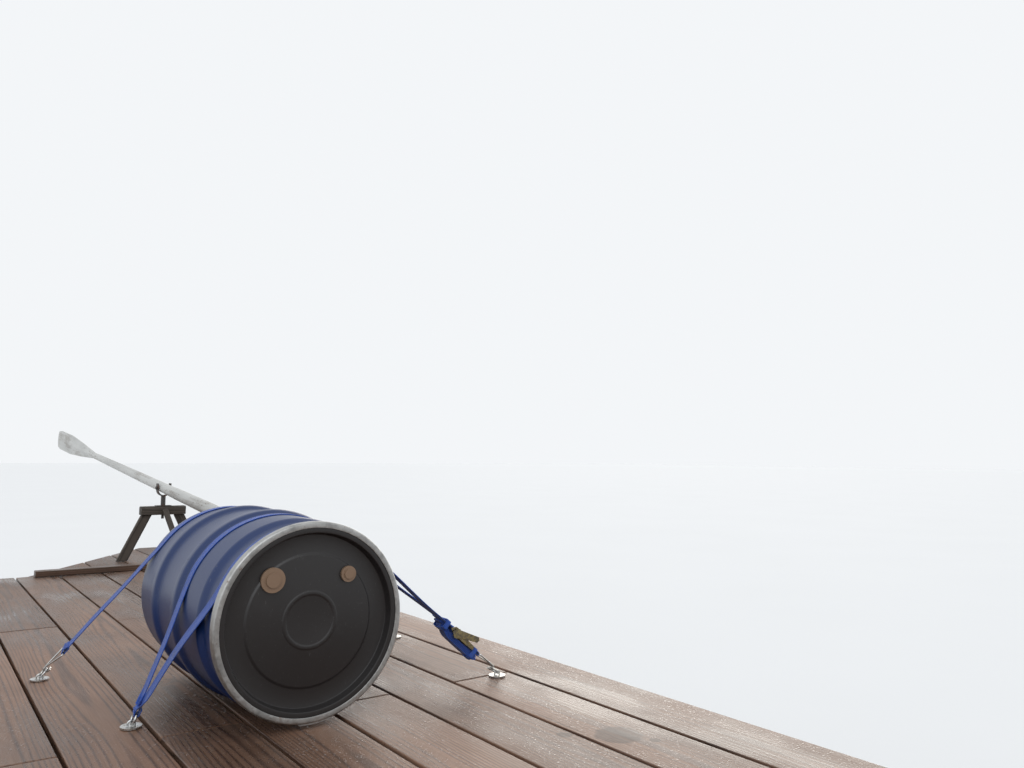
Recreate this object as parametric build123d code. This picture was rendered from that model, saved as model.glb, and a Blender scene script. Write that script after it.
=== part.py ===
from build123d import *
import math
import os

os.makedirs("parts", exist_ok=True)

# Driving dimensions, millimetres. While the raft is laid out, X = 0 is the near end of the deck,
# Y = 0 its middle, +Y to port, and Z = 0 the lowest line of the floats.

# Timber
BOARD_WIDTH = 235
BOARD_THICK = 38
BOARD_GAP = 10
BOARD_COUNT = 12
BOARD_LENGTH = 3655
BUTT_GAP = 5
JOIST_WIDTH = 38
JOIST_HEIGHT = 140
JOIST_COUNT = 13
STRINGER_WIDTH = 38
STRINGER_HEIGHT = 184
END_SET_BACK = 20

# Plastic drums: the floats and the loose drum on the deck are one size
DRUM_LENGTH = 870
HOOP_RADIUS = 306
WAIST_RADIUS = 292
NECK_RADIUS = 276
NECK_END = 124
SHOULDER_LENGTH = 22
BEAD_RADIUS = 281
RING_RADIUS = 290
RING_WIDTH = 26
RING_WALL = 2.5
HOOPS_AT = (365, 610)
HOOP_WIDTH = 34
HOOP_SLOPE = 16
MOUTH_RADIUS = 261
LID_WALL = 4
LID_DEPTH = 26
LID_FLANGE = 12
LID_STEP = 4
LID_STEP_IN = 70
BUNG_CIRCLE = 173
# angle from the top, radius
BUNGS = ((-43, 36), (43, 24))
BUNG_THICK = 8
BUNG_GRIP = 5
BUNG_GRIP_SHARE = 0.6
LEVER_THICK = 5
LEVER_ARC = (-104, -84)
SEAT = 0.3

# Floats
FLOAT_ROW_Y = 980
FLOAT_START = 200
FLOAT_PITCH = 1010
PORT_FLOATS = 7
STARBOARD_FLOATS = 8
FLOAT_STRAP_AT = (172, 710)
STRAP_UP_STRINGER = 130

# Webbing
WEB_WIDTH = 38
WEB_THICK = 3
WEB_GATHERED = 16

# Where the straps cross the drum on the deck, from its mouth
FRONT_STRANDS = (55, 300)
REAR_STRANDS = (770,)

# Bow stage
STAGE_BOARDS = 6
STAGE_REACH = 1350
STAGE_SLANT_START = 49
STAGE_SLANT_Y = -103
STAGE_SLANT = 1.41
STAGE_JOISTS = 4
STAGE_JOIST_START = 60
BATTEN_WIDTH = 89
BATTEN_THICK = 38

# Drum on the deck
CARGO_X = 3474
CARGO_Y = -371

# Eye plates: x, y
EYES = {"front_port": (3790, 45), "front_starboard": (3628, -1150),
        "rear_port": (4515, 192), "rear_starboard": (4400, -1150)}
EYE_PLATE_RADIUS = 30
EYE_PLATE_THICK = 5
EYE_SCREW_RADIUS = 2.6
EYE_SCREW_CIRCLE = 21.6
STAPLE_RADIUS = 10
STAPLE_WIRE = 3
STAPLE_RISE = 4
RING_EYE_RADIUS = 17
RING_EYE_WIRE = 3.5

# Hooks and ratchet buckles
HOOK_WIRE = 2.75
HOOK_LENGTH = 88
HOOK_SPREAD = 29
HOOK_PAIR = 5
HOOK_TIP = 10
HOOK_SHANK = 16
HOOK_SHOULDER_BEND = 10
HOOK_BAR_BEND = 5
LOOP_LENGTH = 46
FOLD_LENGTH = 14
BUCKLE_LENGTH = 112
BUCKLE_PLATE = 2.5
BUCKLE_SIDE_ROOM = 6
BUCKLE_FLOOR = (38, 2)
BUCKLE_FLOOR_DROP = 8
SPINDLE_RADIUS = 8
SPINDLE_AT = 82
SPINDLE_CLEARANCE = 0.1
SPINDLE_OVERHANG = 7
WHEEL_RADIUS = 19
WHEEL_TEETH = 12
WHEEL_TOOTH = 4
WHEEL_THICK = 3
WHEEL_GAP = 0.4
HANDLE_LENGTH = 96
HANDLE_TURN = 16
HANDLE_BAR_RADIUS = 7
PAWL_LENGTH = 34

# Trestle and rowlock: the rowlock's x is counted from the deck's end, the brace's foot from the rowlock
ROWLOCK_FROM_DECK = 500
BEAM_Y = -1000
BEAM_LENGTH = 320
BEAM_TOP = 398
BEAM_HEIGHT = 66
BEAM_WIDTH = 89
BEAM_CHAMFER = 14
LEG_WIDTH = 78
LEG_THICK = 38
LEG_TOP_IN = 42
LEG_SPREAD = 158
BRACE_WIDTH = 42
BRACE_TOP_BELOW = 8
BRACE_FOOT = (-430, -62)
PIN_RADIUS = 10
PIN_CLEARANCE = 0.08
PIN_BELOW_BEAM = 30
SOCKET_WALL = 6
SOCKET_FLANGE = (56, 110, 4)
OAR_AXIS_HEIGHT = 535

# Oar
OAR_PITCH = 7.4
OAR_YAW = 5.5
LOOM_RADIUS = 37
LOOM_BUTT_RADIUS = 44
NECK_OAR_RADIUS = 27
GRIP_RADIUS = 19
GRIP_LENGTH = 190
INBOARD = 1500
NECK_AT = 1870
OUTBOARD = 3180
BLADE_WIDTH = 190
BLADE_THICK = 24
YOKE_GAP = 6
YOKE_SAG = 12
YOKE_WALL = 8
YOKE_WIDTH = 36
YOKE_HORN = 34
YOKE_SHOULDER_RADIUS = 17
BOLT_RADIUS = 7
BOLT_HEAD_RADIUS = 13
BOLT_HEAD = 9

# Worked out from the sizes above
board_pitch = BOARD_WIDTH + BOARD_GAP
deck_width = BOARD_COUNT * board_pitch - BOARD_GAP
deck_length = 2 * BOARD_LENGTH + BUTT_GAP
joist_base = 2 * HOOP_RADIUS + SEAT
deck_base = joist_base + JOIST_HEIGHT
deck_top = deck_base + BOARD_THICK
stringer_base = joist_base - STRINGER_HEIGHT
rub_height = stringer_base - HOOP_RADIUS
stringer_gap = math.sqrt(HOOP_RADIUS ** 2 - rub_height ** 2) + SEAT
cargo_z = deck_top + HOOP_RADIUS + SEAT
stage_end = deck_length + STAGE_REACH
beam_top = deck_top + BEAM_TOP
rowlock_x = deck_length + ROWLOCK_FROM_DECK
oar_axis = deck_top + OAR_AXIS_HEIGHT
yoke_inner = LOOM_RADIUS + YOKE_GAP
yoke_outer = yoke_inner + YOKE_WALL
buckle_half = WEB_WIDTH / 2 + BUCKLE_SIDE_ROOM
wheel_line = buckle_half + BUCKLE_PLATE + WHEEL_GAP
handle_half = wheel_line + WHEEL_THICK + WHEEL_GAP


def block(x0, x1, y0, y1, z0, z1):
    """A plain box between two corners."""
    return Pos((x0 + x1) / 2, (y0 + y1) / 2, (z0 + z1) / 2) * Box(x1 - x0, y1 - y0, z1 - z0)


def board_edges(row):
    """The two sides of a deck board, counted from starboard."""
    low = -deck_width / 2 + row * board_pitch
    return low, low + BOARD_WIDTH


def slant_x(y):
    """Where the stage's cut end crosses a line y."""
    return deck_length + STAGE_SLANT_START + STAGE_SLANT * (STAGE_SLANT_Y - y)


def deck_boards():
    """Rows of boards with staggered butt joints."""
    boards = []
    half = BOARD_LENGTH / 2
    for row in range(BOARD_COUNT):
        cuts = (BOARD_LENGTH,) if row % 2 else (half, half + BOARD_LENGTH + BUTT_GAP)
        y0, y1 = board_edges(row)
        start = 0
        for cut in cuts:
            boards.append(block(start, cut, y0, y1, deck_base, deck_top))
            start = cut + BUTT_GAP
        boards.append(block(start, deck_length, y0, y1, deck_base, deck_top))
    return boards


def stage_outline():
    """The stage's plan: square at starboard, cut off on a slant to port."""
    start = deck_length + BUTT_GAP
    start_y = STAGE_SLANT_Y - (start - deck_length - STAGE_SLANT_START) / STAGE_SLANT
    end_y = STAGE_SLANT_Y - (stage_end - deck_length - STAGE_SLANT_START) / STAGE_SLANT
    low = -deck_width / 2
    far_side = ((stage_end, low), (stage_end, end_y))
    return make_face(Polyline((start, low), *far_side, (start, start_y), close=True))


def stage_boards():
    """Boards that carry the deck on towards the oar, cut off on a slant."""
    boards = []
    for row in range(STAGE_BOARDS):
        y0, y1 = board_edges(row)
        strip = Pos(stage_end, (y0 + y1) / 2) * Rectangle(4 * STAGE_REACH, BOARD_WIDTH)
        outline = stage_outline() & strip
        boards.append(Pos(0, 0, deck_base) * extrude(outline, BOARD_THICK, dir=(0, 0, 1)))
    return boards


def stringer_lines(side):
    """The middle lines of the two stringers beside a row of floats."""
    away = stringer_gap + STRINGER_WIDTH / 2
    return side * FLOAT_ROW_Y - away, side * FLOAT_ROW_Y + away


def stringers(side, length):
    """Two long planks on edge that hold a row of floats between them, stopped short of the cut end."""
    half = STRINGER_WIDTH / 2
    planks = []
    for y in stringer_lines(side):
        end = min(length, slant_x(y + half) - END_SET_BACK) if length > deck_length else length
        planks.append(block(END_SET_BACK, end, y - half, y + half, stringer_base, joist_base))
    return planks


def deck_joists():
    """Planks on edge across the raft, one under every line of butt joints."""
    half = deck_width / 2 - END_SET_BACK
    last = deck_length - END_SET_BACK - JOIST_WIDTH
    joists = []
    for index in range(JOIST_COUNT):
        middle = deck_length * index / (JOIST_COUNT - 1)
        x = min(max(middle - JOIST_WIDTH / 2, END_SET_BACK), last)
        joists.append(block(x, x + JOIST_WIDTH, -half, half, joist_base, deck_base))
    return joists


def stage_joists():
    """Shorter joists that carry the stage, each stopped at the slanted end."""
    joists = []
    first = deck_length + STAGE_JOIST_START
    last = stage_end - END_SET_BACK - JOIST_WIDTH
    low = -deck_width / 2 + END_SET_BACK
    for index in range(STAGE_JOISTS):
        x = first + (last - first) * index / (STAGE_JOISTS - 1)
        past = x + JOIST_WIDTH - deck_length - STAGE_SLANT_START
        high = STAGE_SLANT_Y - past / STAGE_SLANT - END_SET_BACK
        joists.append(block(x, x + JOIST_WIDTH, low, high, joist_base, deck_base))
    return joists


def drum_outline():
    """Half outline of a drum: mouth bead, long neck, two rolling hoops and a rounded bottom."""
    points = [(LID_FLANGE, MOUTH_RADIUS + SEAT), (LID_FLANGE, BEAD_RADIUS), (RING_WIDTH - 4, BEAD_RADIUS),
              (RING_WIDTH - SEAT, BEAD_RADIUS - 4), (RING_WIDTH + 4, NECK_RADIUS),
              (NECK_END, NECK_RADIUS), (NECK_END + SHOULDER_LENGTH, WAIST_RADIUS)]
    for middle in HOOPS_AT:
        near, far = middle - HOOP_WIDTH / 2, middle + HOOP_WIDTH / 2
        points += [(near - HOOP_SLOPE, WAIST_RADIUS), (near, HOOP_RADIUS),
                   (far, HOOP_RADIUS), (far + HOOP_SLOPE, WAIST_RADIUS)]
    points += [(DRUM_LENGTH - 52, WAIST_RADIUS), (DRUM_LENGTH - 16, WAIST_RADIUS - 14),
               (DRUM_LENGTH, WAIST_RADIUS - 46)]
    return points


def drum_body():
    """A drum along +X with its mouth at X = 0, closed inside, with the lid's well cut out."""
    points = [(LID_DEPTH + LID_WALL + SEAT, 0), (LID_DEPTH + LID_WALL + SEAT, MOUTH_RADIUS + SEAT)]
    points += drum_outline() + [(DRUM_LENGTH, 0)]
    face = make_face(Polyline(*[(x, r) for x, r in points], close=True))
    return revolve(face, Axis.X)


def drum_lid():
    """A black lid: a flange on the bead, and a panel sunk below it with a shallow step."""
    step = MOUTH_RADIUS - LID_STEP_IN
    panel = LID_DEPTH - LID_STEP
    points = [(panel, 0), (panel, step), (LID_DEPTH, step + 6), (LID_DEPTH, MOUTH_RADIUS - 10),
              (0, MOUTH_RADIUS - 4), (0, BEAD_RADIUS - 3), (3, BEAD_RADIUS), (LID_FLANGE - SEAT, BEAD_RADIUS),
              (LID_FLANGE - SEAT, MOUTH_RADIUS), (LID_DEPTH + LID_WALL, MOUTH_RADIUS - 4),
              (LID_DEPTH + LID_WALL, 0)]
    face = make_face(Polyline(*points, close=True))
    return revolve(face, Axis.X)


def clamp_ring():
    """A steel channel ring that grips the lid's flange and the drum's bead."""
    inner = RING_RADIUS - RING_WALL
    lip = BEAD_RADIUS - 9
    points = [(-RING_WALL - SEAT, lip), (-RING_WALL - SEAT, RING_RADIUS - 4), (1, RING_RADIUS),
              (RING_WIDTH - 1, RING_RADIUS), (RING_WIDTH + RING_WALL, RING_RADIUS - 4),
              (RING_WIDTH + RING_WALL, BEAD_RADIUS - 3), (RING_WIDTH, BEAD_RADIUS - 3),
              (RING_WIDTH - 1, inner), (1, inner), (-SEAT, inner - 4), (-SEAT, lip)]
    face = make_face(Polyline(*points, close=True))
    return revolve(face, Axis.X)


def polar(radius, degrees):
    """A point of a plane at a radius and an angle."""
    return radius * math.cos(math.radians(degrees)), radius * math.sin(math.radians(degrees))


def ring_lever():
    """The ring's over-centre lever, a curved strip lying along its outside."""
    inner = RING_RADIUS + SEAT
    arc = Circle(inner + LEVER_THICK) - Circle(inner)
    corners = [polar(2 * inner, angle) for angle in LEVER_ARC]
    wedge = make_face(Polyline((0, 0), *corners, close=True))
    side = RING_WIDTH / 6
    return Pos(side, 0, 0) * (Plane.YZ * extrude(arc & wedge, RING_WIDTH - 2 * side))


def float_parts(make, side, count):
    """One piece of every drum in a row of floats."""
    piece = make()
    return [Pos(FLOAT_START + FLOAT_PITCH * i, side * FLOAT_ROW_Y, HOOP_RADIUS) * piece for i in range(count)]


def run_outline(start, end, thick):
    """A straight stretch of webbing seen edge on, its thickness to the left of its way."""
    dx, dz = end[0] - start[0], end[1] - start[1]
    size = math.hypot(dx, dz)
    nx, nz = -dz / size * thick, dx / size * thick
    back = ((end[0] + nx, end[1] + nz), (start[0] + nx, start[1] + nz))
    return make_face(Polyline(start, end, *back, close=True))


def float_strap():
    """Webbing slung under one float, its ends up the outer faces of the stringers."""
    radius = WAIST_RADIUS + SEAT
    face_y = stringer_gap + STRINGER_WIDTH + SEAT
    rim_z = stringer_base - HOOP_RADIUS
    reach = math.hypot(face_y, rim_z)
    turn = math.atan2(rim_z, face_y) - math.acos(radius / reach)
    touch = (radius * math.cos(turn), radius * math.sin(turn))
    ring = Circle(radius + WEB_THICK) - Circle(radius)
    far = 3 * radius
    cut = (far * math.cos(turn), far * math.sin(turn))
    below = make_face(Polyline((0, 0), cut, (far, -far), (-far, -far), (-cut[0], cut[1]), close=True))
    half_run = run_outline((face_y, rim_z), touch, WEB_THICK)
    upright = run_outline((face_y, rim_z + STRAP_UP_STRINGER), (face_y, rim_z - WEB_THICK / 2), WEB_THICK)
    side = half_run + upright
    outline = (ring & below) + side + mirror(side, Plane.YZ)
    return Plane.YZ * extrude(outline, WEB_WIDTH / 2, both=True)


def float_straps(side, count):
    """Two straps for each float of a row."""
    strap = float_strap()
    return [Pos(FLOAT_START + FLOAT_PITCH * i + at, side * FLOAT_ROW_Y, HOOP_RADIUS) * strap
            for i in range(count) for at in FLOAT_STRAP_AT]


def cargo_place(shape):
    """Moves a drum piece to the drum that lies on the deck."""
    return Pos(CARGO_X, CARGO_Y, cargo_z) * shape


def bungs():
    """Two plain screw plugs in the lid."""
    plugs = []
    panel = LID_DEPTH - LID_STEP - SEAT
    for angle, radius in BUNGS:
        y, z = polar(BUNG_CIRCLE, 90 + angle)
        plug = Pos(panel - BUNG_THICK, y, z) * (Plane.YZ * extrude(Circle(radius), BUNG_THICK))
        grip = extrude(Circle(BUNG_GRIP_SHARE * radius), BUNG_GRIP)
        plugs.append(plug + Pos(panel - BUNG_THICK - BUNG_GRIP, y, z) * (Plane.YZ * grip))
    return plugs


def ribbon(start, end, normal, width=WEB_WIDTH):
    """A flat stretch of webbing between two points, lying square to a normal."""
    way = (Vector(*end) - Vector(*start)).normalized()
    across = Vector(*normal).cross(way).normalized()
    sheets = [Plane(origin=point, x_dir=across, z_dir=way) * Rectangle(size, WEB_THICK)
              for point, size in ((start, WEB_WIDTH), (end, width))]
    return loft(sheets)


def strand_bed(at):
    """The radius on which a strand lies: in the neck or on the waist."""
    return (NECK_RADIUS if at < NECK_END else WAIST_RADIUS) + SEAT


def drum_tangent(at, end):
    """Where webbing from a point outside leaves the drum, and the angle there from level."""
    side = 1 if end[1] > CARGO_Y else -1
    middle = strand_bed(at) + WEB_THICK / 2
    away, drop = side * (end[1] - CARGO_Y), end[2] - cargo_z
    turn = math.atan2(drop, away) + math.acos(middle / math.hypot(away, drop))
    touch = (CARGO_X + at, CARGO_Y + side * middle * math.cos(turn), cargo_z + middle * math.sin(turn))
    return touch, turn, (0, side * math.cos(turn), math.sin(turn))


def drum_arc(at, port_turn, starboard_turn):
    """The part of a strand that lies on the drum."""
    radius = strand_bed(at)
    reach = 3 * radius
    band = Circle(radius + WEB_THICK) - Circle(radius)
    port_cut = (reach * math.cos(port_turn), reach * math.sin(port_turn))
    starboard_cut = (-reach * math.cos(starboard_turn), reach * math.sin(starboard_turn))
    above = make_face(Polyline((0, 0), port_cut, (reach, reach), (-reach, reach), starboard_cut, close=True))
    arc = Plane.YZ * extrude(band & above, WEB_WIDTH / 2, both=True)
    return Pos(CARGO_X + at, CARGO_Y, cargo_z) * arc


class Tie:
    """One corner of the lashing: an eye on the deck, and the line from it to the drum."""

    def __init__(self, eye, strands, buckled):
        self.x, self.y = EYES[eye]
        self.strands = strands
        self.buckled = buckled
        self.hinge = Vector(self.x, self.y, deck_top + SEAT + EYE_PLATE_THICK + STAPLE_RISE
                            + STAPLE_RADIUS - STAPLE_WIRE - RING_EYE_WIRE - 4 * SEAT)
        middle = sum(strands) / len(strands)
        aim = Vector(*drum_tangent(middle, tuple(self.hinge))[0])
        self.way = (aim - self.hinge).normalized()
        up = Vector(1, 0, 0).cross(self.way).normalized()
        self.up = up if up.Z > 0 else up * -1

    def at(self, distance):
        """The frame at a distance from the hinge: X to the drum, Z away from the deck."""
        return Plane(origin=self.hinge + self.way * distance, x_dir=self.way, z_dir=self.up)

    def place(self, distance, shape):
        """Puts a shape drawn about that frame's origin in its place."""
        return self.at(distance).location * shape


def eye_plate(tie):
    """A round plate with screw holes and a half round staple."""
    base = Pos(0, 0, EYE_PLATE_THICK / 2) * Cylinder(EYE_PLATE_RADIUS, EYE_PLATE_THICK)
    for quarter in range(4):
        hole = Cylinder(EYE_SCREW_RADIUS, 4 * EYE_PLATE_THICK)
        base -= Pos(*polar(EYE_SCREW_CIRCLE, 45 + 90 * quarter)) * hole
    spring_z = EYE_PLATE_THICK + STAPLE_RISE
    bow = Rotation(0, 90, 0) * Torus(STAPLE_RADIUS, STAPLE_WIRE)
    bow &= Pos(0, 0, STAPLE_RADIUS) * Box(4 * STAPLE_RADIUS, 4 * STAPLE_RADIUS, 2 * STAPLE_RADIUS)
    bow = Pos(0, 0, spring_z) * bow
    legs = [Pos(0, side * STAPLE_RADIUS, spring_z / 2) * Cylinder(STAPLE_WIRE, spring_z) for side in (-1, 1)]
    return Pos(tie.x, tie.y, deck_top + SEAT) * (base + bow + legs)


def eye_ring(tie):
    """The loose ring in the staple, pulled towards the drum."""
    return tie.place(RING_EYE_RADIUS, Torus(RING_EYE_RADIUS, RING_EYE_WIRE))


def wire_hook(tie):
    """A double hook of bent wire: a bar for the webbing, and two curled tips round the eye's ring."""
    curl = RING_EYE_WIRE + HOOK_WIRE + 5 * SEAT
    half = [(HOOK_TIP, HOOK_PAIR, -curl), (-curl, HOOK_PAIR, -curl), (-curl, HOOK_PAIR, curl),
            (HOOK_SHANK, HOOK_PAIR, curl), (HOOK_LENGTH, HOOK_SPREAD, 0)]
    other = [(a, -y, z) for a, y, z in reversed(half)]
    bends = [0.98 * curl, 0.98 * curl, HOOK_SHOULDER_BEND, HOOK_BAR_BEND]
    path = FilletPolyline(*half, *other, radius=bends + bends[::-1])
    start = Plane(origin=half[0], z_dir=(-1, 0, 0))
    return tie.place(2 * RING_EYE_RADIUS, sweep(start * Circle(HOOK_WIRE), path=path))


def webbing_loop(start, length, inner):
    """A flat closed loop of webbing between two bars, drawn along +X."""
    outer = SlotCenterToCenter(length, 2 * (inner + WEB_THICK))
    band = outer - SlotCenterToCenter(length, 2 * inner)
    return Pos(start + length / 2, 0, 0) * (Plane.XZ * extrude(band, WEB_WIDTH / 2, both=True))


hook_bar = 2 * RING_EYE_RADIUS + HOOK_LENGTH
bolt_bar = hook_bar + LOOP_LENGTH
spindle_line = bolt_bar + SPINDLE_AT
bar_room = HOOK_WIRE + SEAT
fold_room = RING_EYE_WIRE + 8 * SEAT


def buckle_frame():
    """The ratchet buckle's frame: two cheeks, a floor between them and the bolt for the short loop."""
    cheek = make_face(Polyline((-9, -7), (BUCKLE_LENGTH - 14, -9), (BUCKLE_LENGTH, 2), (SPINDLE_AT + 16, 16),
                               (SPINDLE_AT - 18, 18), (20, 8), (-9, 7), close=True))
    cheek -= Pos(SPINDLE_AT, 0) * Circle(SPINDLE_RADIUS + SPINDLE_CLEARANCE)
    plate = Plane.XZ * extrude(cheek, BUCKLE_PLATE)
    frame = Pos(0, buckle_half + BUCKLE_PLATE, 0) * plate + Pos(0, -buckle_half, 0) * plate
    floor_length, floor_thick = BUCKLE_FLOOR
    frame += Pos(SPINDLE_AT / 2 - 4, 0, -BUCKLE_FLOOR_DROP) * Box(floor_length, 2 * buckle_half, floor_thick)
    frame += Rotation(90, 0, 0) * Cylinder(HOOK_WIRE, 2 * buckle_half + BUCKLE_PLATE)
    return frame


def buckle_wheel():
    """A ratchet wheel with saw teeth, cut from plate."""
    corners = []
    for tooth in range(WHEEL_TEETH):
        angle = 2 * math.pi * tooth / WHEEL_TEETH
        corners.append((WHEEL_RADIUS * math.cos(angle), WHEEL_RADIUS * math.sin(angle)))
        late = angle + 1.75 * math.pi / WHEEL_TEETH
        root = WHEEL_RADIUS - WHEEL_TOOTH
        corners.append((root * math.cos(late), root * math.sin(late)))
    return Plane.XZ * extrude(make_face(Polyline(*corners, close=True)), WHEEL_THICK)


def buckle_spindle():
    """The slotted spindle with its two wheels outside the cheeks."""
    shaft = Rotation(90, 0, 0) * Cylinder(SPINDLE_RADIUS, 2 * (buckle_half + BUCKLE_PLATE + SPINDLE_OVERHANG))
    wheel = buckle_wheel()
    piece = shaft + Pos(0, wheel_line + WHEEL_THICK, 0) * wheel + Pos(0, -wheel_line, 0) * wheel
    return Pos(SPINDLE_AT, 0, 0) * piece


def buckle_handle():
    """The lifted handle: two arms outside the wheels, a hand bar and the sliding pawl plate."""
    arm = make_face(Polyline((-12, -10), (10, -12), (22, 0), (6, 14), (-HANDLE_LENGTH + 8, 17),
                             (-HANDLE_LENGTH, 8), (-HANDLE_LENGTH + 6, -3), close=True))
    arm -= Circle(SPINDLE_RADIUS + SPINDLE_CLEARANCE)
    plate = Plane.XZ * extrude(arm, BUCKLE_PLATE)
    handle = Pos(0, handle_half + BUCKLE_PLATE, 0) * plate + Pos(0, -handle_half, 0) * plate
    across = 2 * handle_half + BUCKLE_PLATE
    handle += Pos(-HANDLE_LENGTH + 12, 0, 8) * (Rotation(90, 0, 0) * Cylinder(HANDLE_BAR_RADIUS, across))
    handle += Pos(-HANDLE_LENGTH / 2, 0, 13) * Box(PAWL_LENGTH, across, BUCKLE_PLATE)
    return Pos(SPINDLE_AT, 0, 0) * (Rotation(0, HANDLE_TURN, 0) * handle)


def lashing_end(tie):
    """Where a tie's long webbing ends: at the spindle, or at the loop round a hook or ring."""
    if tie.buckled:
        return tie.at(spindle_line).origin + tie.up * (SPINDLE_RADIUS + WEB_THICK / 2 + SEAT)
    if len(tie.strands) > 1:
        return tie.at(2 * RING_EYE_RADIUS + FOLD_LENGTH + fold_room + WEB_THICK / 2).origin
    return tie.at(hook_bar + LOOP_LENGTH / 2 + bar_room + WEB_THICK / 2).origin


def long_strap(port_tie, starboard_tie):
    """A whole strap as one piece: strands on the drum, straight runs and the folds at its ends."""
    pieces = []
    ends = {}
    for tie in (port_tie, starboard_tie):
        ends[tie] = lashing_end(tie)
    for at in port_tie.strands:
        turns = []
        for tie in (port_tie, starboard_tie):
            touch, turn, normal = drum_tangent(at, tuple(ends[tie]))
            turns.append(turn)
            gathered = len(tie.strands) > 1 and not tie.buckled
            width = WEB_GATHERED if gathered else WEB_WIDTH
            pieces.append(ribbon(touch, tuple(ends[tie]), normal, width))
        pieces.append(drum_arc(at, *turns))
    if len(port_tie.strands) > 1:
        fold = webbing_loop(0, FOLD_LENGTH, fold_room) & Box(4 * HOOK_LENGTH, WEB_GATHERED, 4 * HOOK_LENGTH)
        pieces.append(port_tie.place(2 * RING_EYE_RADIUS, fold))
    else:
        pieces.append(port_tie.place(hook_bar, webbing_loop(0, LOOP_LENGTH / 2, bar_room)))
    whole = pieces[0]
    for piece in pieces[1:]:
        whole = whole + piece
    return whole


def trestle_beam():
    """The trestle's cap, across the raft, chamfered along its top and bored for the rowlock's socket."""
    half = BEAM_WIDTH / 2
    base = beam_top - BEAM_HEIGHT
    section = make_face(Polyline((-half, base), (half, base), (half, beam_top - BEAM_CHAMFER),
                                 (half - BEAM_CHAMFER, beam_top), (BEAM_CHAMFER - half, beam_top),
                                 (-half, beam_top - BEAM_CHAMFER), close=True))
    beam = Pos(rowlock_x, BEAM_Y, 0) * (Plane.XZ * extrude(section, BEAM_LENGTH / 2, both=True))
    bore = Cylinder(PIN_RADIUS + SOCKET_WALL, 4 * BEAM_HEIGHT)
    return beam - Pos(rowlock_x, BEAM_Y, beam_top) * bore


def trestle_legs():
    """Two legs splayed under the cap's ends, and a brace that rakes back from its near side."""
    foot_z = deck_top + SEAT
    top_z = beam_top - BEAM_HEIGHT - SEAT
    legs = []
    for side in (-1, 1):
        top_y = BEAM_Y + side * (BEAM_LENGTH / 2 - LEG_TOP_IN)
        ends = ((top_y, top_z), (top_y + side * LEG_SPREAD, foot_z))
        legs.append(loft([Pos(rowlock_x, y, z) * Rectangle(LEG_THICK, LEG_WIDTH) for y, z in ends]))
    run, aside = BRACE_FOOT
    top_x = rowlock_x - BEAM_WIDTH / 2 - SEAT - LEG_THICK / 2
    ends = ((top_x, BEAM_Y, beam_top - BEAM_CHAMFER - BRACE_TOP_BELOW), (rowlock_x + run, BEAM_Y + aside, foot_z))
    legs.append(loft([Pos(x, y, z) * Rectangle(LEG_THICK, BRACE_WIDTH) for x, y, z in ends]))
    return legs


def rowlock_socket():
    """A flanged steel tube let into the beam, in which the rowlock turns."""
    radius = PIN_RADIUS + SOCKET_WALL - SEAT
    length, width, thick = SOCKET_FLANGE
    tube = Pos(rowlock_x, BEAM_Y, beam_top - BEAM_HEIGHT / 2) * Cylinder(radius, BEAM_HEIGHT)
    flange = Pos(rowlock_x, BEAM_Y, beam_top + SEAT + thick / 2) * Box(length, width, thick)
    neck = Pos(rowlock_x, BEAM_Y, beam_top + SEAT / 2) * Cylinder(radius, SEAT)
    bore = Pos(rowlock_x, BEAM_Y, beam_top) * Cylinder(PIN_RADIUS + PIN_CLEARANCE, 3 * BEAM_HEIGHT)
    return tube + flange + neck - bore


def rowlock_yoke():
    """A flat steel bar bent to a deep U, welded on the pin that turns in the socket."""
    bend = Circle(yoke_outer) - Circle(yoke_inner)
    bend &= Pos(0, -yoke_outer) * Rectangle(2 * yoke_outer, 2 * yoke_outer)
    rise = YOKE_SAG + YOKE_HORN
    horn = Pos((yoke_inner + yoke_outer) / 2, rise / 2) * Rectangle(YOKE_WALL, rise)
    profile = Pos(0, -YOKE_SAG) * (bend + horn + mirror(horn, Plane.YZ))
    strap = Plane.YZ * extrude(profile, YOKE_WIDTH / 2, both=True)
    hole = Rotation(90, 0, 0) * Cylinder(BOLT_RADIUS + PIN_CLEARANCE, 4 * yoke_outer)
    shoulder_base = beam_top + SOCKET_FLANGE[2] + 2 * SEAT - oar_axis
    shoulder_top = -YOKE_SAG - yoke_inner - YOKE_WALL / 2
    pin_base = beam_top - BEAM_HEIGHT - PIN_BELOW_BEAM - oar_axis
    shoulder = Pos(0, 0, shoulder_base) * extrude(Circle(YOKE_SHOULDER_RADIUS), shoulder_top - shoulder_base)
    pin = Pos(0, 0, pin_base) * extrude(Circle(PIN_RADIUS), shoulder_base - pin_base)
    yoke = strap - hole + shoulder + pin
    return Pos(rowlock_x, BEAM_Y, oar_axis) * Rotation(0, 0, OAR_YAW) * yoke


def oar_place(shape):
    """Turns an oar piece, drawn with its blade along +X, to the way it points at rest."""
    turned = Rotation(0, 0, OAR_YAW) * (Rotation(0, -OAR_PITCH, 0) * shape)
    return Pos(rowlock_x, BEAM_Y, oar_axis) * turned


def oar_loom():
    """The round shaft, stoutest by the hand and drawn down to the neck."""
    start = -INBOARD + GRIP_LENGTH
    points = [(start, 0), (start, GRIP_RADIUS + 6), (start + 90, LOOM_BUTT_RADIUS),
              (-300, LOOM_BUTT_RADIUS - 3), (-90, LOOM_RADIUS), (90, LOOM_RADIUS),
              (NECK_AT, NECK_OAR_RADIUS), (NECK_AT, 0)]
    loom = revolve(make_face(Polyline(*points, close=True)), Axis.X)
    return loom - Rotation(90, 0, 0) * Cylinder(BOLT_RADIUS, 4 * LOOM_RADIUS)


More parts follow.
